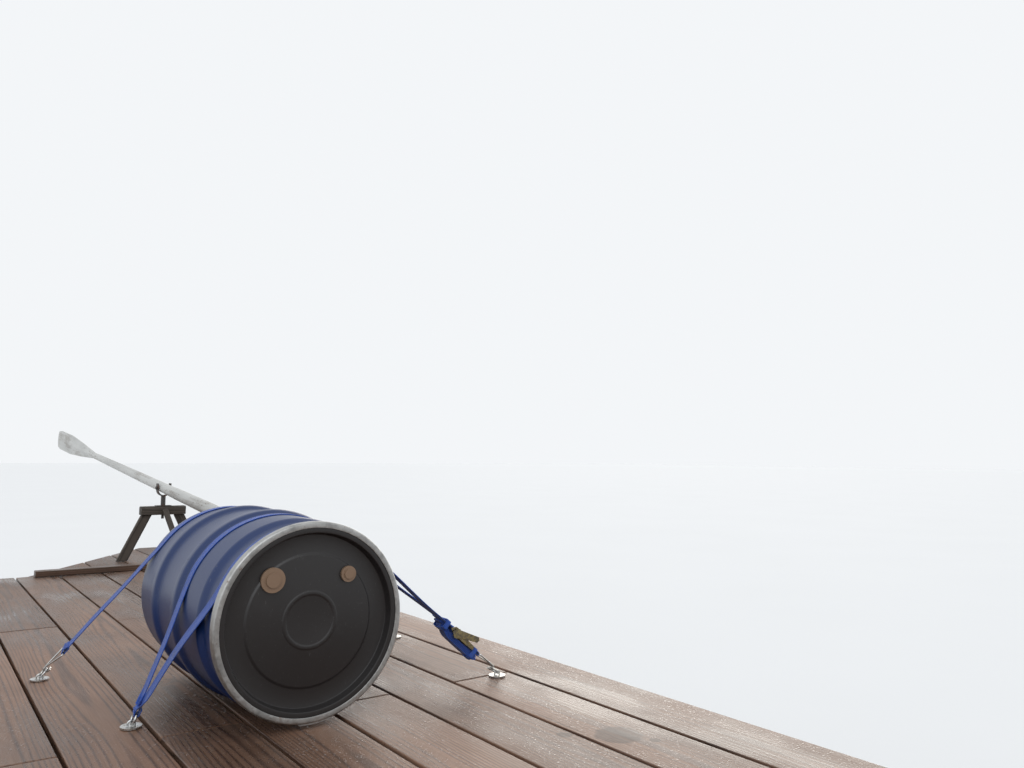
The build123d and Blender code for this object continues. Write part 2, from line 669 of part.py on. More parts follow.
def oar_grip():
    """The hand grip turned on the loom's end."""
    end = -INBOARD + GRIP_LENGTH
    points = [(-INBOARD, 0), (-INBOARD, GRIP_RADIUS - 5), (-INBOARD + 8, GRIP_RADIUS + 3),
              (-INBOARD + 30, GRIP_RADIUS), (end, GRIP_RADIUS), (end, 0)]
    return revolve(make_face(Polyline(*points, close=True)), Axis.X)


def oar_blade():
    """A long flat blade on edge, widening to its end, with the loom's taper running out along it."""
    length = OUTBOARD - NECK_AT
    outline = make_face(Polyline((0, -NECK_OAR_RADIUS), (0.3 * length, -0.34 * BLADE_WIDTH),
                                 (0.62 * length, -BLADE_WIDTH / 2), (length - 14, -BLADE_WIDTH / 2),
                                 (length, -BLADE_WIDTH / 2 + 20), (length, BLADE_WIDTH / 2 - 20),
                                 (length - 14, BLADE_WIDTH / 2), (0.62 * length, BLADE_WIDTH / 2),
                                 (0.3 * length, 0.34 * BLADE_WIDTH), (0, NECK_OAR_RADIUS), close=True))
    sheet = Rotation(90, 0, 0) * extrude(outline, BLADE_THICK / 2, both=True)
    points = [(0, 0), (0, NECK_OAR_RADIUS), (0.72 * length, BLADE_THICK / 2 - 1), (0.72 * length, 0)]
    ridge = revolve(make_face(Polyline(*points, close=True)), Axis.X)
    return Pos(NECK_AT, 0, 0) * (sheet + ridge)


def pivot_bolt():
    """The bolt on which the oar tips, through the loom and both horns of the yoke."""
    face = yoke_outer + SEAT
    shank = Rotation(90, 0, 0) * Cylinder(BOLT_RADIUS, 2 * (face + BOLT_HEAD + SEAT))
    head = Rotation(90, 0, 0) * extrude(RegularPolygon(BOLT_HEAD_RADIUS, 6), BOLT_HEAD)
    return shank + Pos(0, -face, 0) * head + Pos(0, face + BOLT_HEAD, 0) * head


shapes = {}
shapes["deck_boards"] = deck_boards()
shapes["stage_boards"] = stage_boards()
batten_y = (-deck_width / 2, STAGE_SLANT_Y)
shapes["seam_batten"] = [block(deck_length - BATTEN_WIDTH, deck_length - 4, *batten_y,
                               deck_top + SEAT, deck_top + BATTEN_THICK)]
shapes["deck_joists"] = deck_joists()
shapes["stage_joists"] = stage_joists()
shapes["stringers_port"] = stringers(1, deck_length - END_SET_BACK)
shapes["stringers_starboard"] = stringers(-1, stage_end - END_SET_BACK)
for name, side, count in (("port", 1, PORT_FLOATS), ("starboard", -1, STARBOARD_FLOATS)):
    shapes["float_drums_" + name] = float_parts(drum_body, side, count)
    shapes["float_lids_" + name] = float_parts(drum_lid, side, count)
    shapes["float_rings_" + name] = float_parts(clamp_ring, side, count)
    shapes["float_straps_" + name] = float_straps(side, count)
shapes["deck_drum"] = [cargo_place(drum_body())]
shapes["deck_drum_lid"] = [cargo_place(drum_lid())]
shapes["deck_drum_ring"] = [cargo_place(clamp_ring())]
shapes["deck_drum_lever"] = [cargo_place(ring_lever())]
shapes["deck_drum_bungs"] = [cargo_place(plug) for plug in bungs()]
front = (Tie("front_port", FRONT_STRANDS, False), Tie("front_starboard", FRONT_STRANDS, True))
rear = (Tie("rear_port", REAR_STRANDS, False), Tie("rear_starboard", REAR_STRANDS, True))
ties = front + rear
buckled = [tie for tie in ties if tie.buckled]
hooked = buckled + [rear[0]]
shapes["eye_plates"] = [eye_plate(tie) for tie in ties]
shapes["eye_rings"] = [eye_ring(tie) for tie in ties]
shapes["strap_hooks"] = [wire_hook(tie) for tie in hooked]
shapes["strap_front"] = [long_strap(*front)]
shapes["strap_rear"] = [long_strap(*rear)]
shapes["strap_loops"] = [tie.place(hook_bar, webbing_loop(0, LOOP_LENGTH, bar_room)) for tie in buckled]
shapes["buckle_frames"] = [tie.place(bolt_bar, buckle_frame()) for tie in buckled]
shapes["buckle_spindles"] = [tie.place(bolt_bar, buckle_spindle()) for tie in buckled]
shapes["buckle_handles"] = [tie.place(bolt_bar, buckle_handle()) for tie in buckled]
shapes["trestle_beam"] = [trestle_beam()]
shapes["trestle_legs"] = trestle_legs()
shapes["rowlock_socket"] = [rowlock_socket()]
shapes["rowlock_yoke"] = [rowlock_yoke()]
shapes["oar_loom"] = [oar_place(oar_loom())]
shapes["oar_grip"] = [oar_place(oar_grip())]
shapes["oar_blade"] = [oar_place(oar_blade())]
shapes["pivot_bolt"] = [oar_place(pivot_bolt())]

solids_of = {node: [solid for piece in pieces for solid in piece.solids()] for node, pieces in shapes.items()}
box = Compound([solid for solids in solids_of.values() for solid in solids]).bounding_box()
shift = Vector(-(box.min.X + box.max.X) / 2, -(box.min.Y + box.max.Y) / 2, -box.min.Z)
for node, solids in solids_of.items():
    whole = Compound(solids) if len(solids) > 1 else solids[0]
    export_step(Pos(shift) * whole, "parts/" + node + ".step")
print("box", box, "shift", shift)
print("rowlock", Vector(rowlock_x, BEAM_Y, oar_axis) + shift, "deck top", deck_top + shift.Z)
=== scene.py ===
import math
import random

import bmesh
import bpy
from bpy.props import FloatProperty, FloatVectorProperty, PointerProperty
from mathutils import Matrix, Vector, noise


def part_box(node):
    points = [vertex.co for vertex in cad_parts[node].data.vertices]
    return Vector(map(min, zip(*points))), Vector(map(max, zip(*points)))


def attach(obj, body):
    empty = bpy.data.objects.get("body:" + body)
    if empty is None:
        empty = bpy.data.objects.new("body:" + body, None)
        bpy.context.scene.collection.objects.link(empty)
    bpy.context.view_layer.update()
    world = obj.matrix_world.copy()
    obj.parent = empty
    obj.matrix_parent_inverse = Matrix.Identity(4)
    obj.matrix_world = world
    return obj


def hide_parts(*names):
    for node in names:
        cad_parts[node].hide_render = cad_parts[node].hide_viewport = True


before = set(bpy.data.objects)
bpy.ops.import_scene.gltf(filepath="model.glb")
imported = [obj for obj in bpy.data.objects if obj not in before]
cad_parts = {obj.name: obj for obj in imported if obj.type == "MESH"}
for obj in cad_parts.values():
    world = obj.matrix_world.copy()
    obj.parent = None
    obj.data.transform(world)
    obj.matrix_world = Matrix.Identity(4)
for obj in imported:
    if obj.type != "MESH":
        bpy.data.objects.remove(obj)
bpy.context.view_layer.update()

bl_info = {
    "name": "Homemade raft",
    "version": (1, 0, 0),
    "blender": (4, 5, 0),
    "location": "View3D > Sidebar > Raft",
    "description": "Dresses the packed parts of a homemade raft",
    "category": "Add Mesh",
}

# Drums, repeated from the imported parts, in metres
DRUM_LENGTH = 0.87
HOOP_RADIUS = 0.306
WAIST_RADIUS = 0.292
NECK_RADIUS = 0.276
NECK_END = 0.124
SHOULDER_LENGTH = 0.022
BEAD_RADIUS = 0.281
BEAD_SLOPE = 0.004
RING_RADIUS = 0.290
RING_WIDTH = 0.026
RING_WALL = 0.0025
HOOPS_AT = (0.365, 0.610)
HOOP_WIDTH = 0.034
HOOP_SLOPE = 0.016
MOUTH_RADIUS = 0.261
LID_DEPTH = 0.026
LID_WALL = 0.004
LID_FLANGE = 0.012
SEAT = 0.0003
# The closed end: how far each point lies before the end and within the waist
HEEL = ((0.052, 0.0), (0.016, 0.014), (0.0, 0.046), (0.0, 0.074), (0.009, 0.086))

# Lashing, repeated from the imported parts, in metres
WEB_WIDTH = 0.038
WEB_THICK = 0.003
WEB_GATHERED = 0.016
FRONT_STRANDS = (0.055, 0.300)
REAR_STRANDS = (0.770,)
FLOAT_STRAP_AT = (0.172, 0.710)
HINGE_HEIGHT = 0.0116
RING_EYE_RADIUS = 0.017
RING_EYE_WIRE = 0.0035
HOOK_WIRE = 0.00275
HOOK_LENGTH = 0.088
LOOP_LENGTH = 0.046
FOLD_LENGTH = 0.014
SPINDLE_AT = 0.082
SPINDLE_RADIUS = 0.008
# How far from an eye's hinge its ring, its hook and a ratchet's spindle lie
RING_END = 2 * RING_EYE_RADIUS
HOOK_BAR = RING_END + HOOK_LENGTH
SPINDLE_LINE = HOOK_BAR + LOOP_LENGTH + SPINDLE_AT
# From the middle of a bar to the webbing round it
RING_ROOM = RING_EYE_WIRE + 8 * SEAT
HOOK_ROOM = HOOK_WIRE + SEAT

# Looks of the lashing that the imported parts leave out, in metres
STRAND_SAG = 0.009
STRAND_FLUTTER = 0.0011
# Two strands at one ring: apart at the ring, spread beside it, then drawn together and stacked
STRANDS_APART = 0.009
STRANDS_SPREAD = 0.012
STRANDS_DRAWN = 0.021
STRANDS_STACKED = 0.0035
# The shares of their run over which they uncurl and spread
UNCURL_SHARE = 0.13
SPREAD_SHARE = 0.12
WOUND_TURNS = 26 / 24
# The stowed tails, measured from the hook's bar: how far each fold reaches, and how they climb
TAIL_REACHES = (0.226, 0.208, 0.208, 0.192, 0.192)
TAIL_START = 0.006
TAIL_TOP = -0.0125
TAIL_PITCH = 0.0038
TAIL_DROOP = 0.0005
TAIL_CLIMB = 0.0135
CLIMB_START = 0.148
CLIMB_LENGTH = 0.035
# The girths round them: how far from the hook's bar, lowest and highest, and half the width
GIRTHS = ((0.024, -0.0305, 0.0085), (0.184, -0.0185, 0.0135))
GIRTH_HALF = 0.0215
WIDE_GIRTH_HALF = 0.0330
GIRTH_RADIUS = 0.005

# The oar, from its pivot along +X towards the blade
OAR_PITCH = math.radians(7.4)
OAR_YAW = math.radians(5.5)
OAR_INBOARD = 1.5
OAR_GRIP = 0.19
OAR_NECK_AT = 1.87
OAR_NECK_RADIUS = 0.0268
OAR_OUTBOARD = 3.18
BLADE_WIDTH = 0.19
BLADE_THICK = 0.024
OAR_SEED = 0.37

# Deck screws, in metres: a pair that is closer to a board's end than the margin shifts inwards
SCREWS_APART = 0.156
SCREW_SUNK = 0.0032
SCREW_MARGIN = 0.018
SCREW_SHIFT = 0.010

# Points this close count as one: in shapes made here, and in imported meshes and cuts
SAME = 1e-6
NEAR = 1e-5
# The two ends of an edge that lies round a turned shape differ by less than this along the axis
LEVEL = 1e-7
# How much of a plank is its end, and the length and the turn from which its edges are eased
PLANK_END = 0.02
EASED_LENGTH = 0.02
EASED_ANGLE = 0.5

# The camera's place and the way that it looks
CAMERA_PLACE = (-4.3174, 0.625, 1.5833)
CAMERA_HEADING = -0.640
CAMERA_PITCH = math.radians(5.08)
CAMERA_ROLL = 0.0068
CAMERA_LENS = 28.652
WATERLINE = 0.276
FLOOR_HALF = 120.0

# Darker patches on the starboard boards: x, y and radius
DARK_PATCHES = ((-2.563, -1.072, 0.072), (-2.655, -1.125, 0.017), (-2.470, -0.945, 0.022))

# The two lights: heading, height above the horizon and spread, in degrees, and colour
KEY = (-50, 18, 46, (1.0, 0.93, 0.84))
FILL = (150, 38, 50, (0.94, 0.97, 1.0))
LAMPS_AWAY = 12.0


def middle_of(corners):
    """Half way between a box's two corners."""
    low, high = corners
    return (low + high) / 2


def shares(steps):
    """The shares of a whole at even steps, 0 and 1 included."""
    return [index / steps for index in range(steps + 1)]


deck_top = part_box("deck_boards")[1].z
drum_axis = middle_of(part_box("deck_drum"))
drum_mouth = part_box("deck_drum")[1].x - DRUM_LENGTH


def colour_setting(name, description, default):
    """A colour that a user can change."""
    return FloatVectorProperty(name=name, description=description, subtype="COLOR", size=3, min=0,
                               max=1, default=default)


def light_setting(name, description, default):
    """A light's strength that a user can change."""
    return FloatProperty(name=name, description=description, min=0, max=20, default=default)


class TimberSettings(bpy.types.PropertyGroup):
    """Colours and edges of the timber."""

    deck_pale: colour_setting("Deck, pale", "Early wood of the deck boards", (0.205, 0.118, 0.078))
    deck_dark: colour_setting("Deck, dark", "Late wood of the deck boards", (0.074, 0.041, 0.029))
    # The stage's boards take the deck's colours dimmed by this share: painted shade, so that the
    # stage renders darker than the deck
    stage_painted_shade: FloatProperty(name="Stage shade", description="Brightness beside the deck",
                               min=0, max=1, default=0.66)
    frame_pale: colour_setting("Frame, pale", "Early wood under the deck", (0.30, 0.232, 0.165))
    frame_dark: colour_setting("Frame, dark", "Late wood under the deck", (0.145, 0.103, 0.072))
    trestle_pale: colour_setting("Trestle, pale", "Worn wood", (0.062, 0.050, 0.041))
    trestle_dark: colour_setting("Trestle, dark", "Stained wood", (0.020, 0.017, 0.015))
    oar_paint: colour_setting("Oar paint", "Pale weathered paint of the oar", (0.56, 0.56, 0.54))
    board_ease: FloatProperty(name="Eased edge", description="Radius worn on the boards' edges",
                              unit="LENGTH", min=0.0005, max=0.01, default=0.004)


class DrumSettings(bpy.types.PropertyGroup):
    """Colours of the drums and their fittings."""

    blue: colour_setting("Drum blue", "Moulded plastic of the drums", (0.007, 0.027, 0.110))
    black: colour_setting("Lid black", "Moulded plastic of the lids", (0.017, 0.015, 0.015))
    bung: colour_setting("Bungs", "Paler plastic of the screw plugs", (0.235, 0.150, 0.095))
    zinc: colour_setting("Clamp ring", "Galvanised steel", (0.42, 0.42, 0.41))


class LashingSettings(bpy.types.PropertyGroup):
    """Colours of the lashing and the rowlock."""

    web_blue: colour_setting("Webbing", "Woven polyester of the straps", (0.012, 0.078, 0.42))
    plated: colour_setting("Plated steel", "Hooks, rings and eye plates", (0.50, 0.49, 0.455))
    ratchet: colour_setting("Ratchet steel", "Yellow plating, dulled", (0.33, 0.27, 0.135))
    iron: colour_setting("Dark iron", "Rowlock and its socket", (0.055, 0.052, 0.050))


class StudioSettings(bpy.types.PropertyGroup):
    """Light and floor of the studio."""

    floor: colour_setting("Floor", "Colour of the floor at the waterline", (0.80, 0.81, 0.82))
    room_light: light_setting("Room light", "Strength of the even light", 0.80)
    key_light: light_setting("Key light", "Strength of the low light from ahead", 1.25)
    fill_light: light_setting("Fill light", "Strength of the light from behind the camera", 0.9)


class Value:
    """A number in a node tree that Python's arithmetic turns into Math nodes."""

    def __init__(self, nodes, socket):
        self.nodes = nodes
        self.socket = socket

    def maths(self, operation, first, second=0.0):
        node = self.nodes.node("ShaderNodeMath", {"operation": operation}, {0: first, 1: second})
        return Value(self.nodes, node.outputs[0])

    def __add__(self, other):
        return self.maths("ADD", self, other)

    def __sub__(self, other):
        return self.maths("SUBTRACT", self, other)

    def __rsub__(self, other):
        return self.maths("SUBTRACT", other, self)

    def __mul__(self, other):
        return self.maths("MULTIPLY", self, other)

    def __truediv__(self, other):
        return self.maths("DIVIDE", self, other)

    def __rtruediv__(self, other):
        return self.maths("DIVIDE", other, self)

    def __pow__(self, other):
        return self.maths("POWER", self, other)

    def __abs__(self):
        return self.maths("ABSOLUTE", self)

    def __gt__(self, other):
        return self.maths("GREATER_THAN", self, other)

    __radd__, __rmul__ = __add__, __mul__

    def wave(self):
        """Its sine, moved to run from 0 to 1."""
        return self.maths("SINE", self) * 0.5 + 0.5

    def root(self):
        return self.maths("SQRT", self)

    def least(self, other):
        return self.maths("MINIMUM", self, other)

    def most(self, other):
        return self.maths("MAXIMUM", self, other)


class Nodes:
    """A node tree, and the one way in which nodes are added to it."""

    def __init__(self, tree):
        self.tree = tree

    def node(self, kind, settings=None, sockets=None):
        """Adds a node, sets it up, then fills or links its sockets."""
        made = self.tree.nodes.new(kind)
        for key, value in (settings or {}).items():
            setattr(made, key, value)
        for key, value in (sockets or {}).items():
            if isinstance(value, Value):
                value = value.socket
            if isinstance(value, bpy.types.NodeSocket):
                self.tree.links.new(value, made.inputs[key])
            else:
                made.inputs[key].default_value = value
        return made


class Finish(Nodes):
    """A material: constants go on its shader's sockets, and what varies is linked at the end."""

    def __init__(self, name, **constants):
        self.material = bpy.data.materials.new(name)
        self.material.use_nodes = True
        super().__init__(self.material.node_tree)
        self.shader = self.tree.nodes["Principled BSDF"]
        for socket, value in constants.items():
            self.shader.inputs[socket.replace("_", " ")].default_value = value

    def place(self):
        """The point of the surface in the object's own frame."""
        return self.node("ShaderNodeTexCoord").outputs["Object"]

    def attribute(self, name, output="Vector"):
        return self.node("ShaderNodeAttribute", {"attribute_name": name}).outputs[output]

    def parts(self, vector):
        """The three numbers of a vector."""
        node = self.node("ShaderNodeSeparateXYZ", None, {0: vector})
        return [Value(self, socket) for socket in node.outputs]

    def vector(self, x, y, z):
        return self.node("ShaderNodeCombineXYZ", None, {0: x, 1: y, 2: z}).outputs[0]

    def add(self, first, second):
        node = self.node("ShaderNodeVectorMath", {"operation": "ADD"}, {0: first, 1: second})
        return node.outputs[0]

    def stretch(self, vector, scale, turn=(0, 0, 0)):
        sockets = {"Vector": vector, "Scale": scale, "Rotation": turn}
        return self.node("ShaderNodeMapping", None, sockets).outputs[0]

    def noise(self, vector, scale, detail=2.0, rough=0.5, turn=(0, 0, 0)):
        """Cloudy noise; with three scales it is stretched along the axes, after a turn."""
        if isinstance(scale, tuple):
            vector, scale = self.stretch(vector, scale, turn), 1.0
        sockets = {"Vector": vector, "Scale": scale, "Detail": detail, "Roughness": rough}
        return Value(self, self.node("ShaderNodeTexNoise", None, sockets).outputs[0])

    def cells(self, vector, scale):
        """Distance to the nearest cell's middle, and a random number for that cell."""
        node = self.node("ShaderNodeTexVoronoi", None, {"Vector": vector, "Scale": scale})
        return Value(self, node.outputs["Distance"]), self.parts(node.outputs["Color"])[0]

    def rise(self, value, low, high):
        """Climbs smoothly from 0 to 1 while the value goes from low to high."""
        return self.slope(value, low, high, 0.0, 1.0)

    def fall(self, value, low, high):
        """Sinks smoothly from 1 to 0 while the value goes from low to high."""
        return self.slope(value, low, high, 1.0, 0.0)

    def slope(self, value, low, high, start, end):
        sockets = dict(zip(("Value", "From Min", "From Max", "To Min", "To Max"),
                           (value, low, high, start, end)))
        node = self.node("ShaderNodeMapRange", {"interpolation_type": "SMOOTHSTEP"}, sockets)
        return Value(self, node.outputs[0])

    def blend(self, share, first, second):
        """Mixes two colours."""
        first, second = [c if isinstance(c, bpy.types.NodeSocket) else (*c, 1.0)
                         for c in (first, second)]
        sockets = {0: share, 6: first, 7: second}
        return self.node("ShaderNodeMix", {"data_type": "RGBA"}, sockets).outputs[2]

    def shade(self, colour, amount):
        """Makes a colour lighter or darker by a number near 1."""
        sockets = {0: colour, "Scale": amount}
        return self.node("ShaderNodeVectorMath", {"operation": "SCALE"}, sockets).outputs[0]

    def bump(self, height, distance, strength, below=None):
        sockets = {"Height": height, "Distance": distance, "Strength": strength}
        if below is not None:
            sockets["Normal"] = below
        return self.node("ShaderNodeBump", None, sockets).outputs[0]

    def link(self, **sockets):
        """Links what was made to the shader."""
        for socket, value in sockets.items():
            source = value.socket if isinstance(value, Value) else value
            self.tree.links.new(source, self.shader.inputs[socket.replace("_", " ")])


def dimmed(colour, share):
    """A colour at a share of its brightness."""
    return tuple(share * part for part in colour)


def wet_drops(made, place, wetness):
    """Round water drops of two sizes standing where the wood is wet: how much, and how high."""
    height, cover = None, None
    for fineness, size in ((96.0, 0.30), (210.0, 0.28)):
        distance, chance = made.cells(place, fineness)
        inside = 1.0 - (distance / (chance * size + 0.06)).least(1.0)
        present = chance > 0.35
        standing = inside * (2.0 - inside) * present
        edge = (inside > 0.02) * present
        height = standing if height is None else height.most(standing * 0.5)
        cover = edge if cover is None else cover.most(edge)
    return cover * wetness, height * wetness


def darker_patches(made, place):
    """How far a point lies inside the darker patches on the starboard boards."""
    along, across, _ = made.parts(place)
    ragged = made.noise(place, 34.0, 3.0, 0.6) - 0.5
    whole = None
    for x, y, radius in DARK_PATCHES:
        beside, ahead = along - x, across - y
        far = (beside * beside + ahead * ahead).root() / radius + ragged * 0.55
        spot = made.fall(far, 0.86, 1.10)
        whole = spot if whole is None else whole.most(spot)
    return whole


def timber_finish(name, pale, dark, dry, wear, rough, ring=0.007, grey=(0.30, 0.27, 0.24), wet=0.0):
    """Sawn timber: growth rings about a pith below the plank, fibres, knots, checks and damp."""
    made = Finish(name, Specular_IOR_Level=0.28)
    grain = made.attribute("grain")
    seed = Value(made, made.attribute("seed", "Fac"))
    along, across, through = made.parts(grain)
    shifted = made.add(grain, made.vector(seed * 37.0, seed * 11.0, seed * 5.0))
    sweep = made.noise(shifted, (0.55, 3.0, 3.0)) - 0.5
    knot_far, knot_chance = made.cells(made.stretch(shifted, (2.6, 2.6, 0.4)), 1.0)
    knotty = knot_chance > 0.55
    round_knot = made.fall(knot_far, 0.02, 0.22) * knotty
    side = across + (seed - 0.5) * 0.10 + sweep * 0.10 + round_knot * 0.012
    deep = through + seed * 0.05 + 0.035 + sweep * 0.03
    radius = (side * side + deep * deep).root()
    wander = made.noise(shifted, (2.0, 14.0, 14.0), 3.0)
    rings = (radius * (2 * math.pi / ring) + wander * 3.0 + round_knot * 14.0).wave()
    late = rings ** 3.0
    fibre = made.noise(shifted, (9.0, 420.0, 420.0), 3.0, 0.6)
    streak = made.noise(shifted, (1.6, 60.0, 60.0), 3.0, 0.6)
    tone = late * 0.50 + streak * 0.45 + (fibre - 0.5) * 0.55
    colour = made.blend(made.rise(tone, 0.05, 0.95), pale, dark)
    patches = made.noise(shifted, (1.1, 5.0, 5.0), 4.0, 0.62)
    weathered = made.rise(patches + (fibre - 0.5) * 0.35, 0.50, 0.75) * wear
    colour = made.blend(weathered, colour, grey)
    knot = made.fall(knot_far, 0.030, 0.050) * knotty
    colour = made.blend(knot * 0.85, colour, dimmed(dark, 0.45))
    crack = made.rise(made.noise(shifted, (1.9, 130.0, 130.0), 2.0, 0.4), 0.735, 0.775)
    colour = made.blend(crack * 0.9, colour, dimmed(dark, 0.30))
    place = made.place()
    board = (seed * 91.7).wave()
    grime = made.rise(made.noise(place, 2.2, 4.0, 0.65), 0.45, 0.72)
    colour = made.shade(colour, (board * 0.34 + 0.80) * (1.14 - grime * 0.32))
    relief = late * 0.30 + fibre * 0.45 * rough + streak * 0.25 - crack * 1.6 + knot * 0.2
    normal = made.bump(relief, 0.0011 * rough, 0.85)
    roughness = dry + (fibre - 0.5) * 0.25 - late * 0.05
    if wet > 0:
        pool = made.noise(place, (0.99, 2.64, 1.1), 3.0, 0.55)
        damp = made.rise(pool, 0.40, 0.60) * wet
        # Inside the darker patches the colour drops by about half, and no drops stand there
        blotch = darker_patches(made, place)
        cover, height = wet_drops(made, place, made.rise(pool, 0.36, 0.50) * (1.0 - blotch))
        film = made.rise(pool + (rings - 0.5) * 0.05, 0.55, 0.62) * wet
        colour = made.shade(colour, 1.0 - damp * 0.34)
        colour = made.shade(colour, (1.0 - cover * 0.10) * (1.0 - blotch * 0.55))
        roughness = roughness - damp * 0.12 - film * 0.10
        roughness = roughness * (1.0 - cover) + cover * 0.09
        normal = made.bump(height, 0.0011, 0.85, normal)
    made.link(Base_Color=colour, Roughness=roughness.most(0.05), Normal=normal)


def worn_paint_finish(name, paint, wood, length_worn=0.45):
    """Thin pale paint that has worn through to grey wood in streaks."""
    made = Finish(name, Specular_IOR_Level=0.4)
    grain = made.attribute("grain")
    streak = made.noise(grain, (2.2, 60.0, 60.0), 4.0, 0.65)
    fibre = made.noise(grain, (8.0, 380.0, 380.0), 3.0, 0.6)
    patch = made.noise(grain, (3.0, 9.0, 9.0), 4.0, 0.6)
    chips = made.noise(grain, (30.0, 90.0, 90.0), 3.0, 0.7)
    dirt = made.noise(grain, (1.3, 4.0, 4.0), 3.0, 0.6)
    bare = made.rise(patch * 0.62 + streak * 0.38, 0.50, 0.62) * length_worn
    bare = bare.most(made.rise(chips + patch * 0.35, 0.80, 0.84) * 0.9)
    colour = made.blend(bare, made.blend(fibre, paint, dimmed(paint, 0.80)), wood)
    colour = made.shade(colour, 1.06 - made.rise(dirt, 0.42, 0.75) * 0.30)
    made.link(Base_Color=colour, Roughness=0.46 + bare * 0.25 + (fibre - 0.5) * 0.2,
              Normal=made.bump(fibre * 0.5 + streak * 0.3 - bare * 0.7, 0.0007, 0.8))


def plastic_finish(name, colour, scuffed, gloss):
    """Blow-moulded plastic with a fine skin, scuffs along its length, and dried splashes."""
    made = Finish(name, Specular_IOR_Level=0.5)
    place = made.place()
    broad = made.noise(place, 3.0, 3.0, 0.55)
    skin = made.noise(place, 420.0)
    pits = made.noise(place, 46.0)
    scrape = made.noise(place, (5.0, 190.0, 60.0), 4.0, 0.7, turn=(0.35, 0.0, 0.2))
    cross = made.noise(place, (150.0, 7.0, 40.0), 4.0, 0.7, turn=(0.0, 0.5, 0.0))
    worn = made.noise(place, 5.5, 4.0, 0.65)
    scratches = (made.rise(scrape, 0.63, 0.68) + made.rise(cross, 0.66, 0.70)).least(1.0)
    scratches = scratches * made.rise(worn, 0.42, 0.62) * scuffed
    chalk = made.rise(worn, 0.52, 0.80) * 0.30 * scuffed
    speck, chance = made.cells(place, 75.0)
    spots = made.fall(speck, 0.10, 0.17) * (chance > 0.72) * 0.35 * scuffed
    base = made.shade(made.blend(broad, colour, dimmed(colour, 0.82)), 1.06)
    pale = tuple(0.66 * part + 0.08 for part in colour)
    tint = made.blend((scratches * 0.75 + chalk * 0.35 + spots).least(0.9), base, pale)
    rough = gloss + (broad - 0.5) * 0.10 + scratches * 0.25 + chalk * 0.4 + (skin - 0.5) * 0.08
    normal = made.bump(skin * 0.35 + pits * 0.65 - scratches * 0.5, 0.00045, 0.6)
    made.link(Base_Color=tint, Roughness=rough, Normal=normal)


def galvanised_finish(name, colour):
    """Zinc with its spangle, dull patches and brown rust runs."""
    made = Finish(name)
    place = made.place()
    far, chance = made.cells(place, 110.0)
    dull = made.noise(place, 16.0, 4.0, 0.6)
    rusty = made.rise(made.noise(place, 23.0, 5.0, 0.7), 0.60, 0.70)
    tint = made.blend(made.rise(dull, 0.45, 0.65), colour, dimmed(colour, 0.72))
    tint = made.blend(rusty * 0.75, made.shade(tint, chance * 0.22 + 0.86), (0.16, 0.075, 0.035))
    made.link(Base_Color=tint, Metallic=0.95 - rusty * 0.8,
              Roughness=0.34 + chance * 0.14 + made.rise(dull, 0.4, 0.7) * 0.14 + rusty * 0.3,
              Normal=made.bump(dull * 0.5 + far * 0.15 + rusty * 0.4, 0.0003, 0.6))


def plated_finish(name, colour, second):
    """Plated steel of two shades, scratched bright and spotted with rust."""
    made = Finish(name)
    place = made.place()
    hue = made.rise(made.noise(place, 60.0, 3.0, 0.6), 0.38, 0.62)
    blotch = made.noise(place, 130.0, 5.0, 0.7)
    lines = made.noise(place, (420.0, 70.0, 420.0), 3.0, 0.7)
    rusty = made.rise(blotch, 0.58, 0.70)
    tint = made.blend(rusty * 0.8, made.blend(hue, colour, second), (0.20, 0.095, 0.040))
    made.link(Base_Color=tint, Metallic=1.0 - rusty * 0.85,
              Roughness=0.26 + made.rise(lines, 0.4, 0.7) * 0.16 + rusty * 0.35,
              Normal=made.bump(lines * 0.4 + rusty * 0.5 + blotch * 0.2, 0.0002, 0.6))


def iron_finish(name, colour):
    """Dark painted iron with rust coming through."""
    made = Finish(name)
    place = made.place()
    lumps = made.noise(place, 150.0, 4.0, 0.6)
    rusty = made.rise(made.noise(place, 40.0, 5.0, 0.65), 0.50, 0.66)
    tint = made.blend(lumps, colour, dimmed(colour, 1.7))
    tint = made.blend(rusty * 0.75, tint, (0.125, 0.055, 0.028))
    made.link(Base_Color=tint, Metallic=0.7 - rusty * 0.6,
              Roughness=0.44 + rusty * 0.3 + (lumps - 0.5) * 0.15,
              Normal=made.bump(lumps * 0.6 + rusty * 0.5, 0.0005, 0.7))


def webbing_finish(name, colour):
    """Polyester webbing: a twill that turns at the middle, two woven lines and frayed lint."""
    made = Finish(name, Sheen_Weight=0.25, Sheen_Roughness=0.5, Specular_IOR_Level=0.35)
    twill_pitch, rib_pitch, line_at = 0.0034, 0.0023, 0.0125
    along, across, side = made.parts(made.attribute("weave"))
    twill = ((along + abs(across) * 1.1) * (2 * math.pi / twill_pitch)).wave()
    ribs = (across * (2 * math.pi / rib_pitch)).wave()
    weave = twill * 0.65 + ribs * 0.35
    lines = made.fall(abs(abs(across) - line_at), 0.0006, 0.0012)
    grub = made.rise(made.noise(made.place(), 24.0, 4.0, 0.65), 0.50, 0.75)
    fuzz = made.noise(made.vector(along * 1400.0, across * 1400.0, side), 1.0)
    base = made.blend(weave, dimmed(colour, 0.50), dimmed(colour, 1.22))
    base = made.blend(lines * 0.75, base, (0.010, 0.022, 0.075))
    base = made.blend(grub * 0.55, base, (0.055, 0.072, 0.12))
    made.link(Base_Color=made.shade(base, 0.88 + fuzz * 0.24), Roughness=0.66 + (fuzz - 0.5) * 0.25,
              Normal=made.bump(weave + lines * 0.2 + fuzz * 0.15, 0.0006, 0.8))


